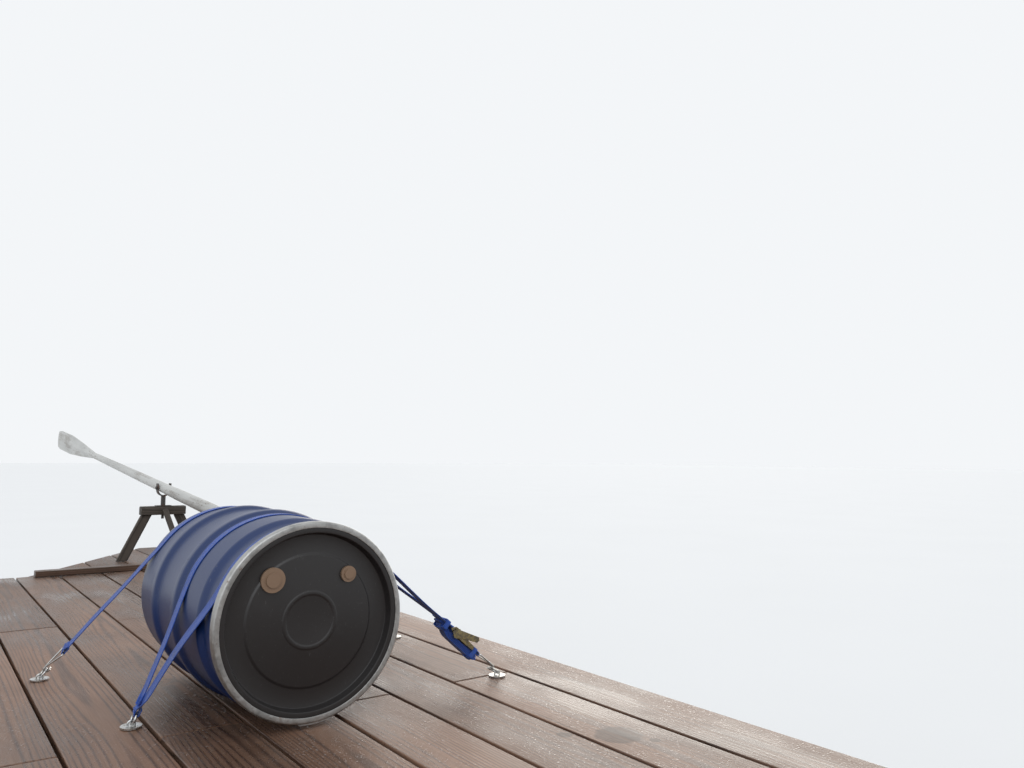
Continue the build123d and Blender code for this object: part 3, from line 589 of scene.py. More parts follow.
def make_finishes():
    """All the raft's materials."""
    scene = bpy.context.scene
    wood, drums, lashing = scene.raft_timber, scene.raft_drums, scene.raft_lashing
    timber_finish("deck timber", wood.deck_pale, wood.deck_dark, dry=0.50, wear=0.30, rough=0.8,
                  ring=0.009, grey=(0.19, 0.145, 0.115), wet=1.0)
    # The stage timber is a dimmed copy of the deck timber, its weathered grey dimmed alike: painted
    # shade
    timber_finish("stage timber in painted shade", dimmed(wood.deck_pale, wood.stage_painted_shade),
                  dimmed(wood.deck_dark, wood.stage_painted_shade), dry=0.55, wear=0.30, rough=0.9,
                  ring=0.009, grey=(0.12, 0.092, 0.075), wet=0.8)
    timber_finish("frame timber", wood.frame_pale, wood.frame_dark, dry=0.72, wear=0.55, rough=1.4)
    timber_finish("trestle timber", wood.trestle_pale, wood.trestle_dark, dry=0.68, wear=0.35,
                  rough=1.8, grey=(0.085, 0.075, 0.066))
    worn_paint_finish("oar paint", wood.oar_paint, (0.25, 0.22, 0.19))
    worn_paint_finish("oar grip wood", (0.36, 0.29, 0.21), (0.20, 0.15, 0.11), length_worn=0.8)
    plastic_finish("drum plastic", drums.blue, scuffed=1.0, gloss=0.34)
    plastic_finish("lid plastic", drums.black, scuffed=0.55, gloss=0.38)
    plastic_finish("bung plastic", drums.bung, scuffed=0.9, gloss=0.46)
    galvanised_finish("galvanised steel", drums.zinc)
    webbing_finish("strap webbing", lashing.web_blue)
    plated_finish("plated steel", lashing.plated, (0.55, 0.56, 0.57))
    plated_finish("ratchet steel", lashing.ratchet, (0.17, 0.15, 0.11))
    iron_finish("dark iron", lashing.iron)


def finish_called(name):
    """A material of the raft, all of which are made the first time."""
    if name not in bpy.data.materials:
        make_finishes()
    return bpy.data.materials[name]


def settle(name, bm, finish, body="raft", stands_for=(), crease=None, even=False):
    """Turns a finished bmesh into a piece that rides on a body."""
    mesh = bpy.data.meshes.new(name)
    bm.to_mesh(mesh)
    bm.free()
    mesh.shade_smooth()
    if crease is not None:
        mesh.set_sharp_from_angle(angle=math.radians(crease))
    mesh.materials.append(finish_called(finish))
    piece = bpy.data.objects.new(name, mesh)
    bpy.context.scene.collection.objects.link(piece)
    if even:
        piece.modifiers.new("even normals", "WEIGHTED_NORMAL").keep_sharp = True
    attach(piece, body)
    if stands_for:
        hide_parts(*stands_for)


def coat(finish, *nodes):
    """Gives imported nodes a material."""
    for node in nodes:
        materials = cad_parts[node].data.materials
        materials.clear()
        materials.append(finish_called(finish))


def merged_copy(node):
    """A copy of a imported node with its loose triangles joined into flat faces."""
    bm = bmesh.new()
    bm.from_mesh(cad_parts[node].data)
    bmesh.ops.remove_doubles(bm, verts=bm.verts, dist=NEAR)
    bmesh.ops.dissolve_limit(bm, angle_limit=math.radians(1), verts=bm.verts, edges=bm.edges)
    return bm


def islands(bm):
    """The separate solids of a mesh, in order of their places."""
    bm.verts.index_update()
    bm.verts.ensure_lookup_table()
    left = set(range(len(bm.verts)))
    groups = []
    while left:
        first = min(left)
        left.discard(first)
        group, waiting = [], [bm.verts[first]]
        while waiting:
            vert = waiting.pop()
            group.append(vert)
            for edge in vert.link_edges:
                other = edge.other_vert(vert)
                if other.index in left:
                    left.discard(other.index)
                    waiting.append(other)
        groups.append(group)
    return sorted(groups, key=lambda group: tuple(round(c, 3) for c in corners_of(group)[0]))


def corners_of(group):
    """The two corners of the box round some vertices."""
    low = Vector([min(v.co[i] for v in group) for i in range(3)])
    high = Vector([max(v.co[i] for v in group) for i in range(3)])
    return low, high


def boxes(node):
    """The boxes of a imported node's solids."""
    bm = merged_copy(node)
    found = [corners_of(group) for group in islands(bm)]
    bm.free()
    return found


def along_axis(index):
    """The unit vector of an axis."""
    return Vector([1.0 if i == index else 0.0 for i in range(3)])


def plank_axes(group):
    """A plank's middle, its way along, across and through."""
    low, high = corners_of(group)
    size = high - low
    longest, second, _ = sorted(range(3), key=lambda i: -size[i])
    far = [v.co for v in group if v.co[longest] > high[longest] - PLANK_END]
    near = [v.co for v in group if v.co[longest] < low[longest] + PLANK_END]
    along = (sum(far, Vector()) / len(far) - sum(near, Vector()) / len(near)).normalized()
    across = along_axis(second)
    across = (across - along * across.dot(along)).normalized()
    return (low + high) / 2, along, across, along.cross(across)


def cut(bm, axis, value):
    """Cuts right through a mesh, square to an axis."""
    normal = along_axis(axis)
    bmesh.ops.bisect_plane(bm, geom=bm.verts[:] + bm.edges[:] + bm.faces[:], dist=NEAR,
                           plane_co=normal * value, plane_no=normal)


def cut_every(bm, axis, step):
    """Cuts a mesh across an axis at even steps."""
    low, high = [corner[axis] for corner in corners_of(bm.verts)]
    for share in shares(max(1, round((high - low) / step)))[1:-1]:
        cut(bm, axis, low + (high - low) * share)


def timber(name, node, finish, ease, step, wander, seed, cup=0.0, lines=()):
    """Dresses a node of planks: eased edges, slight wander and cupping, and the grain's place.

    The planks are cut across at every step and along at every line, so that they can bend.
    """
    found = boxes(node)
    bm = merged_copy(node)
    edges = [e for e in bm.edges
             if e.calc_length() > EASED_LENGTH and e.calc_face_angle(0) > EASED_ANGLE]
    bmesh.ops.bevel(bm, geom=edges, offset=ease, offset_type="OFFSET", segments=2, profile=0.5,
                    affect="EDGES", material=-1, clamp_overlap=True)
    cut_every(bm, max(range(3), key=lambda i: max(high[i] - low[i] for low, high in found)), step)
    for y in lines:
        cut(bm, 1, y)
    grain = bm.verts.layers.float_vector.new("grain")
    mark = bm.verts.layers.float.new("seed")
    chance = random.Random(seed)
    for group in islands(bm):
        low, high = corners_of(group)
        middle, along, across, through = plank_axes(group)
        own = chance.random()
        half = max(abs((v.co - middle).dot(across)) for v in group)
        sunk = chance.random() * cup
        for vert in group:
            out = vert.co - middle
            local = Vector((out.dot(along), out.dot(across), out.dot(through)))
            vert[grain] = local
            vert[mark] = own
            wave = unevenness(local.x * 1.7, own * 50, 1.0 if local.y > 0 else 5.0)
            shift = -across * math.copysign(wander * wave, local.y) * min(1.0, abs(local.y) / half)
            if cup:
                share = (vert.co.z - low.z) / (high.z - low.z)
                bow = (local.y / half) ** 2 * (0.3 + own)
                ripple = unevenness(local.x * 1.1, own * 31, local.y * 9)
                shift.z -= share * (cup * 0.6 * bow + cup * 0.5 * ripple + sunk)
            else:
                inner = unevenness(local.x * 2.3, own * 17, local.z * 20)
                shift -= through * math.copysign(wander * 0.5 * inner, local.z)
            vert.co += shift
    settle(name, bm, finish, stands_for=(node,), even=True)


def unevenness(*place):
    """Smooth noise that runs from about 0 to 1."""
    return 0.5 + 0.5 * noise.noise(Vector(place))


def turned(profile, steps, soften, crease_angle=10, wide=0.0):
    """A shape turned about the X axis from an outline of (x, radius).

    Its corners are rounded: widely where there is room, and then a little wherever they are sharp.
    """
    bm = bmesh.new()
    verts = [bm.verts.new((x, 0.0, r)) for x, r in profile]
    edges = [bm.edges.new(pair) for pair in zip(verts, verts[1:])]
    if min(r for _, r in profile) > SAME:
        edges.append(bm.edges.new((verts[-1], verts[0])))
    bmesh.ops.spin(bm, geom=verts + edges, cent=(0, 0, 0), axis=(1, 0, 0), angle=2 * math.pi,
                   steps=steps, use_merge=True, use_duplicate=False)
    bmesh.ops.remove_doubles(bm, verts=bm.verts, dist=SAME)
    bmesh.ops.recalc_face_normals(bm, faces=bm.faces)
    room = {}
    for before, point, after in zip(profile, profile[1:], profile[2:]):
        room[spot(*point)] = min(math.dist(before, point), math.dist(point, after))
    for offset, least_room in ((wide, 2.1 * wide), (soften, -1.0)):
        rings = []
        for edge in bm.edges:
            (x0, r0), (x1, r1) = ((v.co.x, v.co.yz.length) for v in edge.verts)
            level = abs(x0 - x1) < LEVEL and abs(r0 - r1) < SAME
            if level and room.get(spot(x0, r0), 0.0) > least_room:
                if edge.calc_face_angle(0) > math.radians(crease_angle):
                    rings.append(edge)
        if offset > 0 and rings:
            bmesh.ops.bevel(bm, geom=rings, offset=offset, offset_type="OFFSET", segments=3,
                            profile=0.5, affect="EDGES", material=-1, clamp_overlap=True)
            bmesh.ops.dissolve_degenerate(bm, dist=2 * SAME, edges=bm.edges)
    return bm


def spot(x, radius):
    """An outline's point, rounded so that it can be looked up."""
    return round(x, 5), round(radius, 5)


def drum_profile():
    """Half outline of a drum, closed behind its lid."""
    floor = LID_DEPTH + LID_WALL + SEAT
    points = [(floor, 0.0), (floor, MOUTH_RADIUS + SEAT), (LID_FLANGE, MOUTH_RADIUS + SEAT),
              (LID_FLANGE, BEAD_RADIUS), (RING_WIDTH - BEAD_SLOPE, BEAD_RADIUS),
              (RING_WIDTH - SEAT, BEAD_RADIUS - BEAD_SLOPE), (RING_WIDTH + BEAD_SLOPE, NECK_RADIUS),
              (NECK_END, NECK_RADIUS), (NECK_END + SHOULDER_LENGTH, WAIST_RADIUS)]
    for middle in HOOPS_AT:
        near, far = middle - HOOP_WIDTH / 2, middle + HOOP_WIDTH / 2
        points += [(near - HOOP_SLOPE, WAIST_RADIUS), (near, HOOP_RADIUS), (far, HOOP_RADIUS),
                   (far + HOOP_SLOPE, WAIST_RADIUS)]
    points += [(DRUM_LENGTH - before, WAIST_RADIUS - inward) for before, inward in HEEL]
    return points + [(DRUM_LENGTH - HEEL[-1][0], 0.0)]


def lid_profile():
    """Half outline of a lid: flange, sunk panel, a step and a low ring round its middle."""
    step = MOUTH_RADIUS - 0.07
    panel = LID_DEPTH - 0.004
    rib = panel - 0.0018
    wall = MOUTH_RADIUS - 0.004
    back = LID_DEPTH + LID_WALL
    return [(panel, 0.0), (panel, 0.072), (rib, 0.075), (rib, 0.083), (panel, 0.086), (panel, step),
            (LID_DEPTH, step + 0.006), (LID_DEPTH, MOUTH_RADIUS - 0.01), (0.0, wall),
            (0.0, BEAD_RADIUS - 0.003), (0.003, BEAD_RADIUS), (LID_FLANGE - SEAT, BEAD_RADIUS),
            (LID_FLANGE - SEAT, MOUTH_RADIUS), (back, wall), (back, 0.0)]


def ring_profile():
    """Section of the clamp ring, a channel rolled in steel strip."""
    inner = RING_RADIUS - RING_WALL
    lip = BEAD_RADIUS - 0.009
    heel = BEAD_RADIUS - 0.003
    corner = 0.004
    edge = 0.001
    front, back = -RING_WALL - SEAT, RING_WIDTH + RING_WALL
    return [(front, lip), (front, RING_RADIUS - corner), (edge, RING_RADIUS),
            (RING_WIDTH - edge, RING_RADIUS), (back, RING_RADIUS - corner), (back, heel),
            (RING_WIDTH, heel), (RING_WIDTH - edge, inner), (edge, inner), (-SEAT, inner - corner),
            (-SEAT, lip)]


def moved_to(points):
    """The places of copies that are only moved."""
    return [Matrix.Translation(point) for point in points]


def joined(shapes, places=(Matrix(),)):
    """One mesh with a copy of every shape at every place."""
    whole = bmesh.new()
    for shape in shapes:
        for place in places:
            copy = bpy.data.meshes.new("copy")
            shape.to_mesh(copy)
            copy.transform(place)
            whole.from_mesh(copy)
            bpy.data.meshes.remove(copy)
        shape.free()
    return whole


def drums(names, nodes, mouths, steps, softened, shell_rounded):
    """Drums with lids and clamp rings, their mouths at some points: one piece for each node."""
    outlines = ((drum_profile, shell_rounded, "drum plastic", "drum_blue"),
                (lid_profile, 0.0, "lid plastic", "lid_black"),
                (ring_profile, 0.0, "galvanised steel", "galvanised"))
    for name, node, soften, outline in zip(names, nodes, softened, outlines):
        profile, wide, finish, slot = outline
        shape = joined([turned(profile(), steps, soften, wide=wide)], moved_to(mouths))
        settle(name, shape, finish, stands_for=(node,), crease=50)


def swept(sections, weave):
    """A closed tube through sections of equal numbers of points: a grid that is rolled up."""
    bm = bmesh.new()
    rows, around = len(sections), len(sections[0])
    bmesh.ops.create_grid(bm, x_segments=rows - 1, y_segments=around, size=1.0)
    layer = bm.verts.layers.float_vector.new("weave")
    for vert in bm.verts:
        row = round((vert.co.x + 1) / 2 * (rows - 1))
        column = round((vert.co.y + 1) / 2 * around) % around
        vert.co = sections[row][column]
        vert[layer] = weave[row][column]
    bmesh.ops.remove_doubles(bm, verts=bm.verts, dist=SAME)
    bmesh.ops.holes_fill(bm, edges=[e for e in bm.edges if e.is_boundary], sides=around + 1)
    bmesh.ops.recalc_face_normals(bm, faces=bm.faces)
    return bm


# Where points lie across a strap: the share of its width, and of half its thickness
UPPER_POINTS = (-0.47, -0.32, -0.16, 0, 0.16, 0.32, 0.47)
STRAP_SECTION = ((-0.5, 0), *((share, 1) for share in UPPER_POINTS),
                 (0.5, 0), *((share, -1) for share in reversed(UPPER_POINTS)))
FULL_TROUGH = math.radians(235)
FLAT = 0.0
BARELY_CURLED = 0.02


def strap_band(path):
    """A strap through stations of (middle, across, normal, curl).

    Curl 0 is flat, and curl 1 folds the strap into a trough.
    """
    sections, weave = [], []
    length, last = 0.0, path[0][0]
    for middle, across, normal, curl in path:
        length += (middle - last).length
        last = middle
        turn = max(1e-3, curl * FULL_TROUGH)
        radius = WEB_WIDTH / turn
        depth = radius * (1 - math.sin(turn / 2) / (turn / 2))
        points, marks = [], []
        for share, face in STRAP_SECTION:
            angle = share * turn
            inward = radius - face * WEB_THICK / 2
            side = math.sin(angle) * inward
            lift = radius - math.cos(angle) * inward - depth / 2
            points.append(middle + across * side + normal * lift)
            marks.append(Vector((length, share * WEB_WIDTH, face)))
        sections.append(points)
        weave.append(marks)
    return swept(sections, weave)


def straps(name, paths, stands_for=(), places=(Matrix(),)):
    """One piece of webbing with a strap along every path, at every place."""
    whole = joined([strap_band(path) for path in paths], places)
    settle(name, whole, "strap webbing", stands_for=stands_for, crease=50)


def bed(at):
    """The radius on which a strand lies: in the drum's neck or on its waist."""
    return (NECK_RADIUS if at < NECK_END else WAIST_RADIUS) + SEAT


def outward(angle):
    """The way out from a drum's axis, at an angle up from port."""
    return Vector((0, math.cos(angle), math.sin(angle)))


class Tie:
    """One corner of the lashing: its eye, the drum's strands and the line between them."""

    def __init__(self, eye, strands, buckled):
        self.strands = strands
        self.buckled = buckled
        self.hinge = Vector((eye.x, eye.y, deck_top + HINGE_HEIGHT))
        touch = self.touch(sum(strands) / len(strands), self.hinge)[0]
        self.way = (touch - self.hinge).normalized()
        up = along_axis(0).cross(self.way).normalized()
        self.up = up if up.z > 0 else -up
        self.side = self.up.cross(self.way)

    def touch(self, at, end):
        """Where webbing from an end meets the drum, the angle there from level, and the normal."""
        hand = 1 if end.y > drum_axis.y else -1
        radius = bed(at) + WEB_THICK / 2
        away, drop = hand * (end.y - drum_axis.y), end.z - drum_axis.z
        turn = math.atan2(drop, away) + math.acos(radius / math.hypot(away, drop))
        normal = Vector((0, hand * math.cos(turn), math.sin(turn)))
        return drum_centre(at) + normal * radius, turn, normal

    def at(self, distance, rise=0.0, aside=0.0):
        return self.hinge + self.way * distance + self.up * rise + self.side * aside

    def round(self, angle):
        """The way outwards at an angle round a bar that lies across the line."""
        return self.way * math.cos(angle) + self.up * math.sin(angle)

    def end(self):
        """Where the long webbing ends."""
        if self.buckled:
            return self.at(SPINDLE_LINE, SPINDLE_RADIUS + WEB_THICK / 2 + SEAT)
        if len(self.strands) > 1:
            return self.at(RING_END + FOLD_LENGTH + RING_ROOM + WEB_THICK / 2)
        return self.at(HOOK_BAR + LOOP_LENGTH / 2 + HOOK_ROOM + WEB_THICK / 2)


def drum_centre(at):
    """The point on the deck drum's axis at a distance from its mouth."""
    return Vector((drum_mouth + at, drum_axis.y, drum_axis.z))


def ties():
    """The four corners of the lashing, read from the eye plates."""
    kinds = (("front_starboard", FRONT_STRANDS, True), ("front_port", FRONT_STRANDS, False),
             ("rear_starboard", REAR_STRANDS, True), ("rear_port", REAR_STRANDS, False))
    eyes = sorted((middle_of(b) for b in boxes("eye_plates")), key=lambda p: p.x)
    return {name: Tie(eye, strands, buckled) for eye, (name, strands, buckled) in zip(eyes, kinds)}


def free_run(at, tie, order):
    """Stations of the run from a tie to the drum: a second strand lies beside or on the first."""
    end = tie.end()
    point, turn, normal = tie.touch(at, end)
    double = len(tie.strands) > 1
    gathered = double and not tie.buckled
    if gathered:
        end += tie.side * STRANDS_APART * (order - 0.5)
    elif double:
        end += normal * WEB_THICK * 1.1 * order
    across = normal.cross((point - end).normalized()).normalized()
    if across.x < 0:
        across = -across
    run = []
    for share in shares(20):
        curl, arch = BARELY_CURLED, math.sin(math.pi * share)
        flutter = math.sin(share * 9 + at * 40) * STRAND_FLUTTER * arch
        place = end.lerp(point, share) + normal * flutter
        if gathered:
            curl += 0.80 * max(0.0, 1 - share / UNCURL_SHARE) ** 1.3
            drawn = math.sin(math.pi * share ** 0.7) ** 2
            spread = STRANDS_SPREAD * min(1.0, share / SPREAD_SHARE) * (1 - share)
            place += tie.side * (spread - STRANDS_DRAWN * drawn) * (2 * order - 1)
            place += normal * STRANDS_STACKED * order * drawn
        elif double:
            place.z -= STRAND_SAG * arch
        run.append([place, across, normal, curl])
    return run, turn


def drum_strand(at, port, starboard, order=0):
    """Stations of one strand from the port end, over the drum, to the starboard end."""
    path, first = free_run(at, port, order)
    starboard_run, starboard_turn = free_run(at, starboard, order)
    last = math.pi - starboard_turn
    for share in shares(44)[1:-1]:
        normal = outward(first + (last - first) * share)
        place = drum_centre(at) + normal * (bed(at) + WEB_THICK / 2)
        path.append([place, along_axis(0), normal, BARELY_CURLED])
    path += starboard_run[::-1]
    passes, ends_kept = 3, 5
    for _ in range(passes):
        eased = [station[:] for station in path]
        for index in range(ends_kept, len(path) - ends_kept):
            before, here, after = path[index - 1:index + 2]
            eased[index][1] = (before[1] + here[1] * 2 + after[1]).normalized()
            eased[index][0] = Vector(((before[0].x + 2 * here[0].x + after[0].x) / 4, *here[0].yz))
        path = eased
    for station in path:
        station[1] = (station[1] - station[2] * station[1].dot(station[2])).normalized()
    return path


def slot_loop(tie, start, length, inner, width_share=1.0, overlap=0.6):
    """Stations of a sewn loop round two bars, its end lapped over its start on the upper side."""
    radius = inner + WEB_THICK / 2
    upper, lower = math.pi / 2, -math.pi / 2
    path = []

    def station(along, rise, angle, lift=0.0):
        normal = tie.round(angle)
        middle = tie.at(start + along, rise) + normal * lift
        path.append([middle, tie.side * width_share, normal, FLAT])

    def half_turn(bar, first):
        for share in shares(9)[1:-1]:
            angle = first - math.pi * share
            station(bar + radius * math.cos(angle), radius * math.sin(angle), angle)

    for share in shares(4):
        station(length * (0.5 + 0.5 * share), radius, upper)
    half_turn(length, upper)
    for share in shares(8):
        station(length * (1 - share), -radius, lower)
    half_turn(0.0, lower)
    for share in shares(8):
        lapped = share * (0.5 + overlap / 2)
        lift = WEB_THICK * 0.95 * min(1.0, max(0.0, (lapped - 0.30) / 0.12))
        station(length * lapped, radius, upper, lift)
    return path


def winding(tie):
    """Stations of the turns of webbing wound on a ratchet's spindle."""
    path = []
    for share in shares(26):
        normal = tie.round(math.pi / 2 + 2 * math.pi * WOUND_TURNS * share)
        radius = SPINDLE_RADIUS + WEB_THICK * (0.55 + 0.35 * share)
        path.append([tie.at(SPINDLE_LINE) + normal * radius, tie.side, normal, FLAT])
    return path


def lifted(along):
    """How far the stowed tail rises towards the strap, past the ratchet's frame."""
    share = min(1.0, max(0.0, (along - CLIMB_START) / CLIMB_LENGTH))
    return TAIL_CLIMB * share * share * (3 - 2 * share)


def stowed_tail(tie):
    """Stations of a strap's loose end, folded to and fro under the ratchet."""
    line = []
    for layer, reach in enumerate(TAIL_REACHES):
        back = layer % 2
        ends = (reach, TAIL_START + math.sin(layer * 2.3) * 0.004)
        first, last = reversed(ends) if back else ends
        rise = TAIL_TOP - layer * TAIL_PITCH
        for share in shares(12):
            along = first + (last - first) * share
            droop = TAIL_DROOP * layer * math.sin(math.pi * share)
            line.append((along, rise + lifted(along) - droop))
        if layer < len(TAIL_REACHES) - 1:
            radius = TAIL_PITCH / 2
            for share in shares(6)[1:-1]:
                out, down = math.sin(math.pi * share), 1 - math.cos(math.pi * share)
                line.append((last + radius * (out if back else -out),
                             rise + lifted(last) - radius * down))
    path = []
    for index, (along, rise) in enumerate(line):
        before, after = line[max(0, index - 1)], line[min(len(line) - 1, index + 1)]
        run, climb = after[0] - before[0], after[1] - before[1]
        normal = (tie.up * run - tie.way * climb).normalized()
        path.append([tie.at(HOOK_BAR + along, rise), tie.side, normal, FLAT])
    return path


def girth(tie, at, low, high, half):
    """Stations of a turn of folded webbing round the stowed tail, its end lapped underneath."""
    inner = half - GIRTH_RADIUS
    corners = ((inner, low + GIRTH_RADIUS, -90), (inner, high - GIRTH_RADIUS, 0),
               (-inner, high - GIRTH_RADIUS, 90), (-inner, low + GIRTH_RADIUS, 180))
    folded = tie.way * 0.5
    at += HOOK_BAR
    path = [[tie.at(at, low), folded, -tie.up, FLAT]]
    for aside, rise, first in corners:
        for share in shares(5):
            angle = math.radians(first + 90 * share)
            normal = tie.side * math.cos(angle) + tie.up * math.sin(angle)
            path.append([tie.at(at, rise, aside) + normal * GIRTH_RADIUS, folded, normal, FLAT])
    for share in (0.3, 0.6, 1.0):
        aside = half * 0.6 * share - inner * (1 - share)
        path.append([tie.at(at, low - WEB_THICK * 1.05, aside), folded, -tie.up, FLAT])
    return path


def oar_piece(name, bm, finish, node, crease):
    """Puts a shape that is drawn along +X from the pivot in the oar's place, with its grain."""
    grain = bm.verts.layers.float_vector.new("grain")
    mark = bm.verts.layers.float.new("seed")
    for vert in bm.verts:
        vert[grain] = vert.co.copy()
        vert[mark] = OAR_SEED
    pivot = Matrix.Translation(middle_of(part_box("pivot_bolt")))
    turn = Matrix.Rotation(OAR_YAW, 4, "Z") @ Matrix.Rotation(-OAR_PITCH, 4, "Y")
    bmesh.ops.transform(bm, matrix=pivot @ turn, verts=bm.verts)
    settle(name, bm, finish, "oar", (node,), crease)


class RAFT_OT_deck(bpy.types.Operator):
    """Builds the deck and stage boards, the batten over their seam and the screws"""

    bl_idname = "raft.deck"
    bl_label = "Deck boards"

    def execute(self, context):
        found = boxes("deck_boards")
        low, high = found[0]
        rows = sorted({round(middle_of(b).y, 4) for b in found})
        lines = [row + share * (high.y - low.y) for row in rows for share in (-0.3, 0.0, 0.3)]
        ease = context.scene.raft_timber.board_ease
        timber("deck_planks", "deck_boards", "deck timber", ease, step=0.30,
               wander=0.0012, seed=3, cup=0.0014, lines=lines)
        # The stage's boards and the seam batten are drawn in the stage timber's painted shade
        timber("stage_planks", "stage_boards", "stage timber in painted shade", ease, step=0.25,
               wander=0.0012, seed=8, cup=0.0014, lines=lines)
        timber("seam_plank", "seam_batten", "stage timber in painted shade", ease, step=0.20,
               wander=0.0015, seed=12)
        places = []
        for boards, joists, margins in (("deck_boards", "deck_joists", (0.0, 0.0)),
                                        ("stage_boards", "stage_joists", (0.012, 0.05))):
            for board in boxes(boards):
                for joist in boxes(joists):
                    places += self.crossing(board, joist, *margins)
        settle("deck_screws", joined([self.screw()], places), "plated steel",
               crease=35)
        return {"FINISHED"}

    def crossing(self, board, joist, near_margin, far_margin):
        """The places of the two screws where a board lies on a joist, or none."""
        (low, high), joist_high = board, joist[1]
        row, x = middle_of(board).y, middle_of(joist).x
        if not low.x + near_margin < x < high.x - far_margin or joist_high.y < row:
            return []
        if min(x - low.x, high.x - x) < SCREW_MARGIN:
            x += SCREW_SHIFT if x - low.x < high.x - x else -SCREW_SHIFT
        places = []
        for side in (-1, 1):
            shake = noise.noise(Vector((x * 3, row * 7, side)))
            y = row + side * (SCREWS_APART / 2 + shake * 0.006)
            place = Matrix.Translation((x + shake * 0.010, y, deck_top - SCREW_SUNK))
            places.append(place @ Matrix.Rotation(shake * 9, 4, "Z"))
        return places

    def screw(self):
        """A countersunk head with a recess."""
        head, shank, height, rim, recess = 0.0052, 0.0030, 0.0022, 0.0026, 0.0010
        bm = bmesh.new()
        bmesh.ops.create_cone(bm, cap_ends=True, cap_tris=False, segments=12, radius1=shank,
                              radius2=head, depth=height)
        top = max(bm.faces, key=lambda f: f.calc_center_median().z)
        bmesh.ops.inset_region(bm, faces=[top], thickness=rim, depth=0.0)
        bmesh.ops.translate(bm, verts=top.verts, vec=(0, 0, -recess))
        return bm


class RAFT_OT_frame(bpy.types.Operator):
    """Builds the joists and stringers under the deck"""

    bl_idname = "raft.frame"
    bl_label = "Joists and stringers"

    def execute(self, context):
        nodes = ("deck_joists", "stage_joists", "stringers_port", "stringers_starboard")
        for seed, node in enumerate(nodes, 20):
            timber(node + "_sawn", node, "frame timber", ease=0.003, step=0.35,
                   wander=0.0015, seed=seed)
        return {"FINISHED"}


class RAFT_OT_floats(bpy.types.Operator):
    """Builds the float drums, their lids, clamp rings and slung straps"""

    bl_idname = "raft.floats"
    bl_label = "Float drums"

    def execute(self, context):
        for side in ("port", "starboard"):
            mouths = [Vector((high.x - DRUM_LENGTH, *middle_of((low, high)).yz))
                      for low, high in boxes("float_drums_" + side)]
            names = [f"float_{name}_{side}" for name in ("shells", "caps", "clamps")]
            nodes = [f"float_{node}_{side}" for node in ("drums", "lids", "rings")]
            drums(names, nodes, mouths, steps=48, softened=(0.002, 0.0015, 0.0008),
                  shell_rounded=0.007)
            slings = [mouth + Vector((at, 0, 0)) for mouth in mouths for at in FLOAT_STRAP_AT]
            straps("float_slings_" + side, [self.sling(side, mouths[0].z)],
                   ("float_straps_" + side,), moved_to(slings))
        return {"FINISHED"}

    def sling(self, side, axis_height):
        """Stations of the webbing slung under a float, up the outer faces of the stringers."""
        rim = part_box("stringers_" + side)[0].z - axis_height
        low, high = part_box("float_straps_" + side)
        face = (high.y - low.y) / 2 - WEB_THICK / 2
        top = high.z - axis_height
        radius = WAIST_RADIUS + SEAT + WEB_THICK / 2
        eased = 0.006
        turn = math.atan2(rim, face) - math.acos(radius / math.hypot(face, rim))
        half = []
        for share in shares(12):
            angle = -math.pi / 2 + (turn + math.pi / 2) * share
            half.append((radius * math.cos(angle), radius * math.sin(angle), angle))
        leave_y, leave_z, _ = half[-1]
        for share in (0.4, 0.8, 0.97):
            y, z = leave_y + (face - leave_y) * share, leave_z + (rim - leave_z) * share
            half.append((y, z, turn))
        half.append((face, rim + eased, turn * 0.3))
        for share in (0.25, 0.6, 1.0):
            half.append((face, rim + eased + (top - rim - eased) * share, 0.0))
        whole = [(-y, z, math.pi - angle) for y, z, angle in reversed(half[1:])] + half
        return [[Vector((0, y, z)), along_axis(0), outward(angle), FLAT] for y, z, angle in whole]


class RAFT_OT_deck_drum(bpy.types.Operator):
    """Builds the drum that lies on the deck"""

    bl_idname = "raft.deck_drum"
    bl_label = "Deck drum"

    def execute(self, context):
        drums(("drum_shell", "drum_cap", "drum_clamp"),
              ("deck_drum", "deck_drum_lid", "deck_drum_ring"), [drum_centre(0)], steps=144,
              softened=(0.002, 0.002, 0.001), shell_rounded=0.0075)
        coat("bung plastic", "deck_drum_bungs")
        coat("galvanised steel", "deck_drum_lever")
        return {"FINISHED"}


class RAFT_OT_lashing(bpy.types.Operator):
    """Builds the straps over the drum and coats their steel"""

    bl_idname = "raft.lashing"
    bl_label = "Lashing"

    def execute(self, context):
        corner = ties()
        front, rear = corner["front_starboard"], corner["rear_starboard"]
        port = corner["front_port"]
        strands = [drum_strand(at, port, front, order) for order, at in enumerate(FRONT_STRANDS)]
        fold = slot_loop(port, RING_END, FOLD_LENGTH, RING_ROOM,
                         1.5 * WEB_GATHERED / WEB_WIDTH, 0.5)
        straps("strap_over_front", strands + [fold, winding(front)], ("strap_front",))
        port = corner["rear_port"]
        strands = [drum_strand(at, port, rear) for at in REAR_STRANDS]
        loop = slot_loop(port, HOOK_BAR, LOOP_LENGTH / 2, HOOK_ROOM)
        straps("strap_over_rear", strands + [loop, winding(rear)], ("strap_rear",))
        loops = [slot_loop(tie, HOOK_BAR, LOOP_LENGTH, HOOK_ROOM) for tie in (front, rear)]
        straps("strap_short_loops", loops, ("strap_loops",))
        tails = []
        for tie, far_half in ((front, WIDE_GIRTH_HALF), (rear, GIRTH_HALF)):
            tails.append(stowed_tail(tie))
            for place, half in zip(GIRTHS, (GIRTH_HALF, far_half)):
                tails.append(girth(tie, *place, half))
        straps("strap_stowed_tails", tails)
        coat("plated steel", "eye_plates", "eye_rings", "strap_hooks")
        coat("ratchet steel", "buckle_frames", "buckle_spindles", "buckle_handles")
        return {"FINISHED"}


